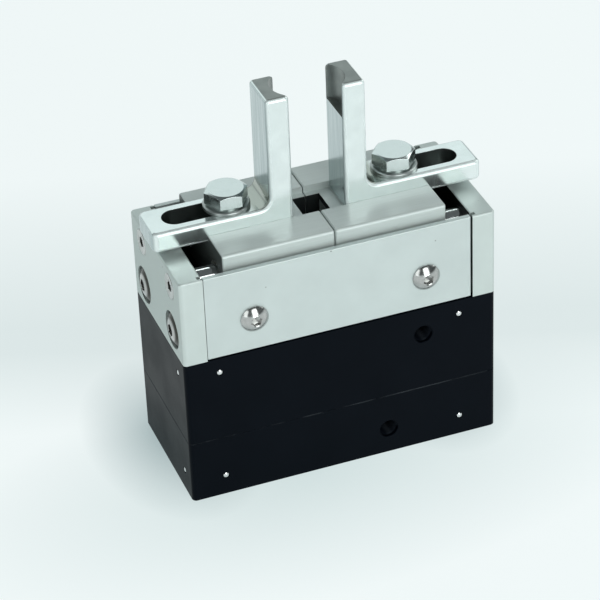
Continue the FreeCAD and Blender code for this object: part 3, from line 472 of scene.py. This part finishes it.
def bronze():
    material, tree, shader = new_material("sintered_bronze")
    grain = use_group(tree, ETCHED_GRAIN, {"Grain per m": 7000.0})
    tree.links.new(mix_colours(tree, grain["Height"], (0.36, 0.22, 0.09), (0.58, 0.40, 0.19)),
                   shader.inputs["Base Color"])
    tree.links.new(remap(tree, grain["Patch"], 0.0, 1.0, 0.34, 0.5), shader.inputs["Roughness"])
    shader.inputs["Metallic"].default_value = 1.0
    bump(tree, shader, grain["Height"], 0.01 * MM)
    return material


def turned_aluminium():
    material, tree, shader = new_material("turned_aluminium")
    grain = use_group(tree, ETCHED_GRAIN, {"Grain per m": 5000.0})
    tree.links.new(mix_colours(tree, grain["Patch"], (0.56, 0.57, 0.58), (0.68, 0.69, 0.70)),
                   shader.inputs["Base Color"])
    tree.links.new(remap(tree, grain["Patch"], 0.0, 1.0, 0.22, 0.36), shader.inputs["Roughness"])
    shader.inputs["Metallic"].default_value = 1.0
    bump(tree, shader, grain["Height"], 0.004 * MM)
    return material


RUBBER = rubber()
BRONZE = bronze()
for node in ("joint_seal", "rod_seal", "piston_seal"):
    refinish(node, RUBBER)
for node in ("rod_bush", "left_carriage_bushes", "right_carriage_bushes"):
    refinish(node, BRONZE)
refinish("piston", turned_aluminium())
for node in ("piston_rod", "left_cam_pin", "right_cam_pin"):
    refinish(node, POLISHED)
for node in ("piston_screw", "cam_screw"):
    refinish(node, STAINLESS)


# Jaw housing: a black inner frame with end plates and covers of clear anodised aluminium, which
# have a fine matt grain and a few specks. The plates are screwed to the frame from the ends, and
# the covers are screwed to it from the sides. The plates' inner faces are painted black as shade,
# and their outer end faces are painted a little darker as shade.
PLATE_INSIDE, PLATE_OUTSIDE = (corner.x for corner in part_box("right_end_plate"))
COVER_EDGE = 0.1 * MM
INSIDE_SHADE_SKIN = 0.05 * MM
END_SKIN = 0.06 * MM
SPECK = (0.10, 0.10, 0.09)
PAINTED_END_FACE_SHADE = (0.28, 0.33, 0.31)
PAINTED_INSIDE_SHADE = (0.006, 0.007, 0.007)


def speck_group():
    """A few dark specks, at most one to a cell."""
    tree, given, result = new_group("dark_specks", {"Cells per m": 160.0}, ("Mask",))
    inputs = {"Vector": object_place(tree), "Scale": given["Cells per m"]}
    to_centre = add_node(tree, "ShaderNodeTexVoronoi", inputs).outputs["Distance"]
    tree.links.new(remap(tree, to_centre, 0.045, 0.02, 0.0, 0.75), result["Mask"])
    return tree


DARK_SPECKS = speck_group()


def clear_anodised(name, dark, light, painted_plate_shade):
    material, tree, shader = new_material(name)
    grain = use_group(tree, ETCHED_GRAIN, {"Grain per m": 8000.0, "Patches per m": 140.0})
    specks = use_group(tree, DARK_SPECKS)["Mask"]
    metal = mix_colours(tree, grain["Patch"], dark, light)
    marked = mix_colours(tree, specks, metal, SPECK)
    # Painted shade: the outer end faces are darkened a little, and the inner faces are painted black as
    # shade.
    if painted_plate_shade:
        parts = split(tree, object_place(tree))
        outwards = math_node(tree, "ABSOLUTE", parts["X"])
        inside = remap(tree, outwards, PLATE_INSIDE + 2 * INSIDE_SHADE_SKIN, PLATE_INSIDE + INSIDE_SHADE_SKIN)
        end = remap(tree, outwards, PLATE_OUTSIDE - 2 * END_SKIN, PLATE_OUTSIDE - END_SKIN, 0.0, 0.3)
        marked = mix_colours(tree, end, marked, PAINTED_END_FACE_SHADE)
        marked = mix_colours(tree, inside, marked, PAINTED_INSIDE_SHADE)
    tree.links.new(marked, shader.inputs["Base Color"])
    tree.links.new(remap(tree, grain["Patch"], 0.0, 1.0, 0.44, 0.52), shader.inputs["Roughness"])
    shader.inputs["Metallic"].default_value = 0.75
    bump(tree, shader, grain["Height"], 0.006 * MM)
    return material


PLATE = clear_anodised("end_plate_anodised", (0.61, 0.665, 0.645), (0.65, 0.71, 0.69), painted_plate_shade=True)
COVER = clear_anodised("cover_anodised", (0.60, 0.655, 0.645), (0.64, 0.697, 0.687), painted_plate_shade=False)
refinish("guide_frame", BLACK)
for plate in ("left_end_plate", "right_end_plate"):
    rounded_piece(plate, BROKEN_EDGE, PLATE)
for cover in ("front_cover", "rear_cover"):
    rounded_piece(cover, COVER_EDGE, COVER)


# End plate screws: stainless button heads in counterbores, two to a plate. A thick rim lets each
# dome stand just clear of its plate, and a painted shade darkens the rims of the heads.
PLATE_HEAD_RADIUS = 4.75 * MM
PLATE_HEAD_SEAT = 2.75 * MM
RIM_SHADE_START = 2.6 * MM
RIM_SHADE_FULL = 3.2 * MM
PAINTED_RIM_SHADE = (0.055, 0.056, 0.05)


def button_rings(radius, length, head_radius, head_height, rim_height, apothem, socket_depth):
    """A button head screw, domed to a sphere above its rim, with its bearing face at height 0."""
    dome_height = head_height - rim_height
    ball = (head_radius ** 2 + dome_height ** 2) / (2 * dome_height)
    chamfer = 0.1 * MM
    mouth = apothem * 2 / math.sqrt(3) + SOCKET_CONE_WIDTH
    rim_angle = math.degrees(math.acos(head_radius / ball))
    mouth_angle = math.degrees(math.acos(mouth / ball))
    dome = arc_rings(head_height - ball, 0, ball, rim_angle, mouth_angle, 14)
    return [
        *shank_rings(radius, length), (0, head_radius - chamfer), (chamfer, head_radius),
        *dome, *socket_rings(dome[-1][0], apothem, socket_depth)[1:],
    ]


def distance_to(tree, place, centre, stretch=(1.0, 1.0, 0.0)):
    """Distance from a place to a centre, measured in a stretched plane."""
    arm = vector_node(tree, "SUBTRACT", place, centre)["Vector"]
    drawn = vector_node(tree, "MULTIPLY", arm, stretch)["Vector"]
    return vector_node(tree, "LENGTH", drawn)["Value"]


def stainless_with_rim_shade(sideways, height):
    """Stainless with a painted shade round the rims of the heads at these places."""
    material, tree, shader = new_material("stainless_with_rim_shade")
    grain = use_group(tree, ETCHED_GRAIN, {"Grain per m": 5000.0, "Patches per m": 500.0})
    parts = split(tree, object_place(tree))
    on_plate = joined(tree, math_node(tree, "ABSOLUTE", parts["Y"]), parts["Z"])
    # Painted shade round the rims of the end plate screws.
    rim_shade = remap(tree, distance_to(tree, on_plate, (sideways, height, 0.0)), RIM_SHADE_START, RIM_SHADE_FULL)
    bright = mix_colours(tree, grain["Patch"], STEEL_DARK, STEEL_LIGHT)
    tree.links.new(mix_colours(tree, rim_shade, bright, PAINTED_RIM_SHADE), shader.inputs["Base Color"])
    tree.links.new(remap(tree, rim_shade, 0.0, 1.0, 0.18, 0.32), shader.inputs["Roughness"])
    shader.inputs["Metallic"].default_value = 1.0
    bump(tree, shader, grain["Height"], 0.002 * MM)
    return material


screw_low, screw_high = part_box("end_plate_screws")
screw_height = (screw_low.z + screw_high.z) / 2
screw_beside = screw_high.y - PLATE_HEAD_RADIUS
plate_rings = button_rings(radius=2.5 * MM, length=10.0 * MM, head_radius=PLATE_HEAD_RADIUS,
                           head_height=3.85 * MM, rim_height=2.2 * MM, apothem=1.5 * MM,
                           socket_depth=1.5 * MM)
set_screws("end_plate_screws", plate_rings,
           four(screw_high.x - PLATE_HEAD_SEAT, screw_beside, screw_height, "x"), (12, 40, 25, 3),
           stainless_with_rim_shade(screw_beside, screw_height))

# Rod screws: flat countersunk heads of bright stainless steel, two to a plate. They go through the
# end plates into the guide rods and sit flush.
ROD_HEAD_RADIUS = 3.3 * MM
ROD_HEAD_RIM = 0.25 * MM
ROD_HEAD_CHAMFER = 0.08 * MM
ROD_SHANK_RADIUS = 1.5 * MM
ROD_SHANK_LENGTH = 9.0 * MM
ROD_TIP_CHAMFER = 0.3 * MM
screw_low, screw_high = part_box("rod_screws")
flat_rings = [
    (-ROD_SHANK_LENGTH, 0), (-ROD_SHANK_LENGTH, ROD_SHANK_RADIUS - ROD_TIP_CHAMFER),
    (ROD_TIP_CHAMFER - ROD_SHANK_LENGTH, ROD_SHANK_RADIUS),
    (ROD_SHANK_RADIUS - ROD_HEAD_RADIUS - ROD_HEAD_RIM, ROD_SHANK_RADIUS),
    (-ROD_HEAD_RIM, ROD_HEAD_RADIUS), (-ROD_HEAD_CHAMFER, ROD_HEAD_RADIUS),
    (0, ROD_HEAD_RADIUS - ROD_HEAD_CHAMFER), *socket_rings(top=0, apothem=1.25 * MM, depth=1.3 * MM),
]
set_screws("rod_screws", flat_rings,
           four(screw_high.x, screw_high.y - ROD_HEAD_RADIUS, (screw_low.z + screw_high.z) / 2, "x"),
           (20, 55, 8, 33), STAINLESS)

# Cover screws: smaller stainless button heads, two to a cover. They stand on the covers and hold
# them to the guide frame.
COVER_HEAD_RADIUS = 3.65 * MM
COVER_HEAD_HEIGHT = 2.1 * MM
screw_low, screw_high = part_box("cover_screws")
cover_rings = button_rings(radius=2.0 * MM, length=8.0 * MM, head_radius=COVER_HEAD_RADIUS,
                           head_height=COVER_HEAD_HEIGHT, rim_height=0.35 * MM, apothem=1.25 * MM,
                           socket_depth=1.25 * MM)
set_screws("cover_screws", cover_rings,
           four(screw_high.x - COVER_HEAD_RADIUS, screw_high.y - COVER_HEAD_HEIGHT,
                (screw_low.z + screw_high.z) / 2, "y"),
           (16, 44, 27, 5), STAINLESS)


# Guide rods: hardened steel bars, ground and polished. The carriages slide on them, and a screw
# through each end plate holds their ends.
for rod in ("front_guide_rod", "rear_guide_rod"):
    refinish(rod, POLISHED)


# Carriages and cam: ground steel, with fine lines along the jaws' travel. The carriages slide on
# the guide rods. Their outer ends carry a painted shade, and the window between them is painted dark as
# shade.
CARRIAGE_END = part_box("right_carriage")[1].x
SEAT_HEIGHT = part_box("right_finger")[0].z
WINDOW_END = 3.7 * MM
WINDOW_HALF_WIDTH = 4.8 * MM
WALL_SKIN = 0.06 * MM
LIP = 0.15 * MM
END_SHADE_SKIN = 0.05 * MM
PAINTED_CARRIAGE_END_SHADE = (0.10, 0.115, 0.11)
PAINTED_WINDOW_SHADE = (0.02, 0.024, 0.024)


def line_group():
    """Grinding lines along X: noise drawn out along the travel, at two widths."""
    tree, given, result = new_group("ground_lines", {"Across per m": 9000.0, "Along per m": 250.0},
                                    ("Height", "Tone"))
    parts = split(tree, object_place(tree))
    along = math_node(tree, "MULTIPLY", parts["X"], given["Along per m"])
    across = [math_node(tree, "MULTIPLY", parts[axis], given["Across per m"]) for axis in ("Y", "Z")]
    drawn = joined(tree, along, *across)
    tree.links.new(noise(tree, drawn, 1.0, 3.0), result["Height"])
    tree.links.new(remap(tree, noise(tree, drawn, 0.3, 2.0), 0.3, 0.7), result["Tone"])
    return tree


GROUND_LINES = line_group()


def ground_steel():
    material, tree, shader = new_material("ground_steel")
    lines = use_group(tree, GROUND_LINES)
    parts = split(tree, object_place(tree))
    outwards = math_node(tree, "ABSOLUTE", parts["X"])
    # Painted shade on the carriages' outer ends.
    end_shade = remap(tree, outwards, CARRIAGE_END - 2 * END_SHADE_SKIN, CARRIAGE_END - END_SHADE_SKIN)
    # Painted shade: the window between the carriages, below the seat, is painted near black.
    window = all_of(tree, under(tree, outwards, WINDOW_END + WALL_SKIN),
                    under(tree, math_node(tree, "ABSOLUTE", parts["Y"]), WINDOW_HALF_WIDTH),
                    under(tree, parts["Z"], SEAT_HEIGHT - LIP))
    ground = mix_colours(tree, lines["Tone"], (0.57, 0.62, 0.605), (0.61, 0.66, 0.645))
    painted_shade_colour = mix_colours(tree, end_shade, ground, PAINTED_CARRIAGE_END_SHADE)
    tree.links.new(mix_colours(tree, window, painted_shade_colour, PAINTED_WINDOW_SHADE), shader.inputs["Base Color"])
    tree.links.new(remap(tree, lines["Tone"], 0.0, 1.0, 0.38, 0.46), shader.inputs["Roughness"])
    shader.inputs["Metallic"].default_value = 0.28
    bump(tree, shader, lines["Height"], 0.002 * MM)
    return material


GROUND = ground_steel()
refinish("drive_cam", GROUND)
for carriage in ("left_carriage", "right_carriage"):
    rounded_piece(carriage, BROKEN_EDGE, GROUND)


# Fingers: L-shaped steel, satin plated, with tumbled edges and a slotted foot in the carriage's
# groove. The nest at the tip was bored and the tip faced after plating, so that steel is bare,
# rough and dark. The inside corner and the slot carry a painted shade, and the sides facing along
# X are streaked and painted darker as shade.
finger_low, finger_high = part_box("right_finger")
washer_low, washer_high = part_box("right_bolt_washer")
TIP_HEIGHT = finger_high.z
TIP_SKIN = 0.12 * MM
NEST_HEIGHT = 9.5 * MM
NEST_DEPTH = 2.75 * MM
NEST_RADIUS = 6.9 * MM
NEST_FLOOR = TIP_HEIGHT - NEST_HEIGHT
NEST_CENTRE = finger_low.x + NEST_DEPTH - NEST_RADIUS
FOOT_TOP = washer_low.z
SLOT_WALL = 4.4 * MM
SLOT_GAP = 0.3 * MM
SLOT_HALF_WIDTH = 3.5 * MM
SLOT_NEAR = (washer_low.x + washer_high.x) / 2 - SLOT_GAP
SLOT_FAR = finger_high.x - SLOT_WALL - SLOT_HALF_WIDTH
UPRIGHT_THICKNESS = 6.15 * MM
UPRIGHT_OUTSIDE = finger_low.x + UPRIGHT_THICKNESS
INSIDE_FILLET = 2.85 * MM
FOOT_CORNER = 1.7 * MM
FINGER_ROUNDING = 1.05 * MM
CUT_EDGE = 0.15 * MM
CUTTER_REACH = 2.0 * MM
CORNER_SHADE_REACH = 3.5 * MM
CORNER_SHADE_RISE = 2.5 * MM
CORNER_SHADE_FADE = 2.0 * MM
CORNER_SKIN = 0.05 * MM
STREAKS_PER_M = (1500.0, 1500.0, 60.0)
PAINTED_CORNER_SHADE = (0.43, 0.46, 0.42)
PAINTED_SLOT_SHADE = (0.11, 0.125, 0.12)
ARC_STEPS = 24


def prism(name, outline, low, high, axis):
    """A mesh with an outline of corners (u, v), drawn out between two heights along Y or Z."""
    work = bmesh.new()
    rows = []
    for level in (low, high):
        places = [(u, level, v) if axis == "Y" else (u, v, level) for u, v in outline]
        rows.append([work.verts.new(place) for place in places])
        work.faces.new(rows[-1])
    count = len(outline)
    for number in range(count):
        following = (number + 1) % count
        work.faces.new((rows[0][number], rows[0][following], rows[1][following], rows[1][number]))
    bmesh.ops.recalc_face_normals(work, faces=work.faces)
    mesh = bpy.data.meshes.new(name)
    work.to_mesh(mesh)
    work.free()
    return mesh


def arc(centre, radius, start, end):
    """Places along an arc; angles are degrees from the outline's first axis."""
    angles = [math.radians(start + (end - start) * step / ARC_STEPS) for step in range(ARC_STEPS + 1)]
    return [(centre[0] + radius * math.cos(angle), centre[1] + radius * math.sin(angle)) for angle in angles]


def round_edges(work, edges, radius, segments):
    """Edges of a mesh in work, filleted to a radius."""
    bmesh.ops.bevel(work, geom=edges, offset=radius, offset_type="OFFSET", segments=segments, profile=0.5,
                    affect="EDGES", clamp_overlap=False)


def is_foot_corner(edge):
    """Whether an edge runs upright at the end of the foot."""
    first, second = (end.co for end in edge.verts)
    at_end = abs(first.x - finger_high.x) < WELD and abs(second.x - finger_high.x) < WELD
    return at_end and abs(first.y - second.y) < WELD


def finger_blank():
    """The right finger before it is slotted and bored: an L with all its outer edges rounded."""
    fillet_centre = (UPRIGHT_OUTSIDE + INSIDE_FILLET, FOOT_TOP + INSIDE_FILLET)
    outline = [
        (finger_high.x, FOOT_TOP), (finger_high.x, finger_low.z), (finger_low.x, finger_low.z),
        (finger_low.x, TIP_HEIGHT), (UPRIGHT_OUTSIDE, TIP_HEIGHT),
        *arc(fillet_centre, INSIDE_FILLET, 180, 270),
    ]
    mesh = prism("finger_blank", outline, finger_low.y, finger_high.y, "Y")
    work = bmesh.new()
    work.from_mesh(mesh)
    round_edges(work, [edge for edge in work.edges if is_foot_corner(edge)], FOOT_CORNER, 8)
    sharp = [edge for edge in work.edges if edge.calc_face_angle() > SHARP_ANGLE]
    round_edges(work, sharp, FINGER_ROUNDING, 6)
    work.to_mesh(mesh)
    work.free()
    return mesh


def cut(mesh, cutters):
    """The mesh less all of the cutters."""
    blank = new_piece(mesh.name, mesh)
    tools = [new_piece(cutter.name, cutter) for cutter in cutters]
    for tool in tools:
        step = blank.modifiers.new(tool.name, "BOOLEAN")
        step.operation = "DIFFERENCE"
        step.solver = "EXACT"
        step.object = tool
    bpy.context.view_layer.update()
    finished = blank.evaluated_get(bpy.context.evaluated_depsgraph_get())
    result = bpy.data.meshes.new_from_object(finished)
    for made in (blank, *tools):
        bpy.data.objects.remove(made)
    return result


def finger_mesh():
    """The right finger, with the slot in its foot and the nest at its tip."""
    far_end = arc((SLOT_FAR, 0), SLOT_HALF_WIDTH, -90, 90)
    near_end = arc((SLOT_NEAR, 0), SLOT_HALF_WIDTH, 90, 270)
    slot = prism("slot_cutter", far_end + near_end, finger_low.z - CUTTER_REACH, FOOT_TOP + CUTTER_REACH,
                 "Z")
    half_round = arc((NEST_CENTRE, 0), NEST_RADIUS, -90, 90)
    nest = prism("nest_cutter", half_round, NEST_FLOOR, TIP_HEIGHT + CUTTER_REACH, "Z")
    return cut(finger_blank(), (slot, nest))


def finger_steel():
    material, tree, shader = new_material("satin_finger_steel")
    grain = use_group(tree, ETCHED_GRAIN, {"Grain per m": 7000.0, "Patches per m": 250.0})
    coordinates = add_node(tree, "ShaderNodeTexCoord").outputs
    parts = split(tree, coordinates["Object"])
    outwards = math_node(tree, "ABSOLUTE", parts["X"])
    sideways = math_node(tree, "ABSOLUTE", parts["Y"])
    from_axis = distance_to(tree, joined(tree, outwards, sideways), (NEST_CENTRE, 0.0, 0.0))
    nest = all_of(tree, over(tree, parts["Z"], NEST_FLOOR - WALL_SKIN),
                  under(tree, from_axis, NEST_RADIUS + WALL_SKIN))
    tip = over(tree, parts["Z"], TIP_HEIGHT - TIP_SKIN)
    # Painted shade inside the slot in the foot.
    slot = all_of(tree, under(tree, parts["Z"], FOOT_TOP - LIP),
                  under(tree, sideways, SLOT_HALF_WIDTH + WALL_SKIN), over(tree, outwards, SLOT_NEAR),
                  under(tree, outwards, SLOT_FAR + SLOT_HALF_WIDTH + WALL_SKIN))
    bare = math_node(tree, "MAXIMUM", nest, tip)
    rough = math_node(tree, "MAXIMUM", bare, slot)

    facing = split(tree, coordinates["Normal"])
    facing_x, facing_y, facing_z = (math_node(tree, "ABSOLUTE", facing[axis]) for axis in "XYZ")
    # The sides facing along X get a streaked colour that is also painted darker there as shade.
    side = remap(tree, facing_x, 0.6, 0.95)
    flat = math_node(tree, "MAXIMUM", facing_x, math_node(tree, "MAXIMUM", facing_y, facing_z))
    edge = all_of(tree, remap(tree, flat, 0.995, 0.95),
                  over(tree, sideways, finger_high.y - FINGER_ROUNDING))
    tumbled = math_node(tree, "MAXIMUM", rough, edge)
    drawn = vector_node(tree, "MULTIPLY", coordinates["Object"], STREAKS_PER_M)["Vector"]
    streaks = remap(tree, noise(tree, drawn, 1.0), 0.3, 0.7)
    plated = mix_colours(tree, grain["Patch"], (0.77, 0.83, 0.82), (0.84, 0.90, 0.89))
    ground = mix_colours(tree, streaks, (0.40, 0.47, 0.475), (0.53, 0.60, 0.605))
    steel = mix_colours(tree, grain["Patch"], (0.27, 0.29, 0.28), (0.34, 0.36, 0.345))
    # Painted shade in the inside corner between the upright and the foot.
    corner_shade_end, corner_shade_top = UPRIGHT_OUTSIDE + CORNER_SHADE_REACH, FOOT_TOP + CORNER_SHADE_RISE
    corner = all_of(tree, remap(tree, outwards, corner_shade_end + CORNER_SHADE_FADE, corner_shade_end),
                    over(tree, outwards, UPRIGHT_OUTSIDE - CORNER_SKIN),
                    remap(tree, parts["Z"], corner_shade_top + CORNER_SHADE_FADE, corner_shade_top),
                    under(tree, sideways, finger_high.y - 0.5 * FINGER_ROUNDING),
                    over(tree, parts["Z"], FOOT_TOP - CORNER_SKIN))
    painted_shade_colour = mix_colours(tree, corner, mix_colours(tree, side, plated, ground), PAINTED_CORNER_SHADE)
    finished = mix_colours(tree, bare, painted_shade_colour, steel)
    tree.links.new(mix_colours(tree, slot, finished, PAINTED_SLOT_SHADE), shader.inputs["Base Color"])
    tree.links.new(remap(tree, tumbled, 0.0, 1.0, 0.17, 0.40), shader.inputs["Roughness"])
    tree.links.new(remap(tree, edge, 0.0, 1.0, 0.95, 0.5), shader.inputs["Metallic"])
    bump(tree, shader, grain["Height"], 0.001 * MM)
    return material


FINGER_STEEL = finger_steel()
right_mesh = finger_mesh()
left_mesh = right_mesh.copy()
left_mesh.transform(Matrix.Scale(-1, 4, (1, 0, 0)))
left_mesh.flip_normals()
rounded_piece("left_finger", CUT_EDGE, FINGER_STEEL, left_mesh)
rounded_piece("right_finger", CUT_EDGE, FINGER_STEEL, right_mesh)


# Finger bolts and washers: zinc plated steel, with a hexagon bolt on a flat washer to clamp each
# finger through its slot. The washers are stamped and tumbled, so they are duller than the bolts.
PRESSED_EDGE = 0.1 * MM


def zinc_plate(name, dark, light, smooth, dull):
    material, tree, shader = new_material(name)
    grain = use_group(tree, ETCHED_GRAIN, {"Grain per m": 4000.0, "Patches per m": 350.0})
    tree.links.new(mix_colours(tree, grain["Patch"], dark, light), shader.inputs["Base Color"])
    tree.links.new(remap(tree, grain["Patch"], 0.0, 1.0, smooth, dull), shader.inputs["Roughness"])
    shader.inputs["Metallic"].default_value = 1.0
    bump(tree, shader, grain["Height"], 0.003 * MM)
    return material


ZINC = zinc_plate("bright_zinc", (0.66, 0.72, 0.71), (0.73, 0.79, 0.78), 0.2, 0.28)
DULL_ZINC = zinc_plate("dull_zinc", (0.36, 0.39, 0.38), (0.45, 0.48, 0.47), 0.3, 0.4)
for side in ("left", "right"):
    rounded_piece(f"{side}_finger_bolt", PRESSED_EDGE, ZINC)
    rounded_piece(f"{side}_bolt_washer", PRESSED_EDGE, DULL_ZINC)


# Stage: pale paper with painted shadows close to the part and a painted band of shade behind it,
# in a studio that is white behind and dark in front and above. One soft lamp stands in front and one on
# either side.
PAPER = (0.935, 1.0, 1.0)
PAINTED_BEND_SHADE = (0.765, 0.85, 0.85)
PAINTED_SHADOW_AHEAD = (0.69, 0.80, 0.80)
PAINTED_SHADOW_BESIDE = (0.43, 0.53, 0.54)
PAPER_UNLIT = (0.87, 0.94, 0.94, 1.0)
PAPER_GLOW = 0.86
INTO_PICTURE = (0.332, 0.943, 0.0)
SHADE_AHEAD = (-10 * MM, -19 * MM, 0.0)
SHADE_BESIDE = (36 * MM, 10 * MM, 0.0)
SHADE_SHIFT = 2.2 * MM
HALF_FLOOR = 3.0
LAMP_TINT = (0.95, 1.0, 0.99)
ROOM_DARK = (0.115, 0.13, 0.133)
WALL_WHITE = (0.86, 0.96, 0.96)
HORIZON_PALE = (0.82, 0.90, 0.90)


def floor_finish():
    material = bpy.data.materials.new("pale_floor")
    material.use_nodes = True
    tree = material.node_tree
    tree.nodes.clear()
    rays = add_node(tree, "ShaderNodeLightPath").outputs
    seen = math_node(tree, "MAXIMUM", rays["Is Camera Ray"],
                     math_node(tree, "MAXIMUM", rays["Is Glossy Ray"], rays["Is Transmission Ray"]))
    place = object_place(tree)
    depth = vector_node(tree, "DOT_PRODUCT", place, INTO_PICTURE)["Value"]
    # Painted shade: a grey band across the paper behind the part, and painted shadows ahead of the part and
    # beside either end.
    bend_shade = all_of(tree, remap(tree, depth, 0.0, 38 * MM), remap(tree, depth, 130 * MM, 50 * MM))
    paper = mix_colours(tree, bend_shade, PAPER, PAINTED_BEND_SHADE)
    parts = split(tree, place)
    across = math_node(tree, "ABSOLUTE", math_node(tree, "ADD", parts["X"], SHADE_SHIFT))
    either_end = joined(tree, across, parts["Y"])
    ahead = distance_to(tree, place, SHADE_AHEAD, (0.5, 1.0, 0.0))
    beside = distance_to(tree, either_end, SHADE_BESIDE, (1.0, 0.6, 0.0))
    dimmed = mix_colours(tree, remap(tree, ahead, 0.0, 50 * MM), PAINTED_SHADOW_AHEAD, paper)
    pale = mix_colours(tree, remap(tree, beside, 4 * MM, 23 * MM), PAINTED_SHADOW_BESIDE, dimmed)
    lit = add_node(tree, "ShaderNodeBsdfDiffuse", {"Color": PAPER_UNLIT}).outputs[0]
    glow = add_node(tree, "ShaderNodeEmission", {"Color": pale}).outputs[0]
    share = math_node(tree, "MULTIPLY", seen, PAPER_GLOW)
    both = add_node(tree, "ShaderNodeMixShader", {0: share, 1: lit, 2: glow}).outputs[0]
    add_node(tree, "ShaderNodeOutputMaterial", {"Surface": both})
    return material


floor_mesh = bpy.data.meshes.new("floor")
floor_corners = [(HALF_FLOOR * x, HALF_FLOOR * y, 0) for x, y in ((-1, -1), (1, -1), (1, 1), (-1, 1))]
floor_mesh.from_pydata(floor_corners, [], [(0, 1, 2, 3)])
floor = new_piece("floor", floor_mesh)
floor_mesh.materials.append(floor_finish())

middle = (cad_bounds[0] + cad_bounds[1]) / 2


def softbox(name, azimuth, elevation, width, height, power):
    """A lamp one metre from the part; the azimuth is counted to the right from the front."""
    data = bpy.data.lights.new(name, "AREA")
    data.shape = "RECTANGLE"
    data.size = width
    data.size_y = height
    data.energy = power
    data.color = LAMP_TINT
    made = bpy.data.objects.new(name, data)
    bpy.context.scene.collection.objects.link(made)
    turn, rise = math.radians(azimuth), math.radians(elevation)
    away = Vector((math.sin(turn) * math.cos(rise), -math.cos(turn) * math.cos(rise), math.sin(rise)))
    made.location = middle + away
    made.rotation_euler = (-away).to_track_quat("-Z", "Y").to_euler()


softbox("front_softbox", azimuth=9, elevation=25, width=0.54, height=0.95, power=5.65)
softbox("left_softbox", azimuth=-52, elevation=24, width=0.40, height=0.70, power=1.55)
softbox("right_softbox", azimuth=95, elevation=35, width=0.60, height=0.60, power=2.5)


def studio_world():
    """Pale round the horizon, white behind the part up to half height, dark above and in front."""
    world = bpy.data.worlds.new("studio")
    world.use_nodes = True
    tree = world.node_tree
    parts = split(tree, add_node(tree, "ShaderNodeTexCoord").outputs["Generated"])
    behind = remap(tree, parts["Y"], 0.35, 0.75)
    above = remap(tree, parts["Z"], 0.08, 0.3)
    below = remap(tree, parts["Z"], 0.88, 0.72)
    leftwards = remap(tree, parts["X"], 0.62, 0.44)
    wall = all_of(tree, behind, leftwards, all_of(tree, above, below))
    room = mix_colours(tree, wall, ROOM_DARK, WALL_WHITE)
    horizon = remap(tree, parts["Z"], 0.17, 0.1)
    tree.links.new(mix_colours(tree, horizon, room, HORIZON_PALE),
                   tree.nodes["Background"].inputs["Color"])
    return world


bpy.context.scene.world = studio_world()

# Camera: a long lens that looks down on the front left corner, turned a little about its own
# axis. The picture keeps the plain Standard view.
AZIMUTH = math.radians(-19.413)
ELEVATION = math.radians(33.842)
ROLL = math.radians(-2.445)
DISTANCE = 0.734962
TARGET = Vector((-0.004156, 0.0, 0.040189))
LENS = 171.98
SENSOR_WIDTH = 36.0
back = Vector((math.sin(AZIMUTH) * math.cos(ELEVATION), -math.cos(AZIMUTH) * math.cos(ELEVATION),
               math.sin(ELEVATION)))
camera_data = bpy.data.cameras.new("camera")
camera_data.lens = LENS
camera_data.sensor_width = SENSOR_WIDTH
camera = bpy.data.objects.new("camera", camera_data)
bpy.context.scene.collection.objects.link(camera)
camera.location = TARGET + back * DISTANCE
aim = (-back).to_track_quat("-Z", "Y").to_matrix().to_4x4()
camera.rotation_euler = (aim @ Matrix.Rotation(ROLL, 4, "Z")).to_euler()
bpy.context.scene.camera = camera
bpy.context.scene.view_settings.view_transform = "Standard"
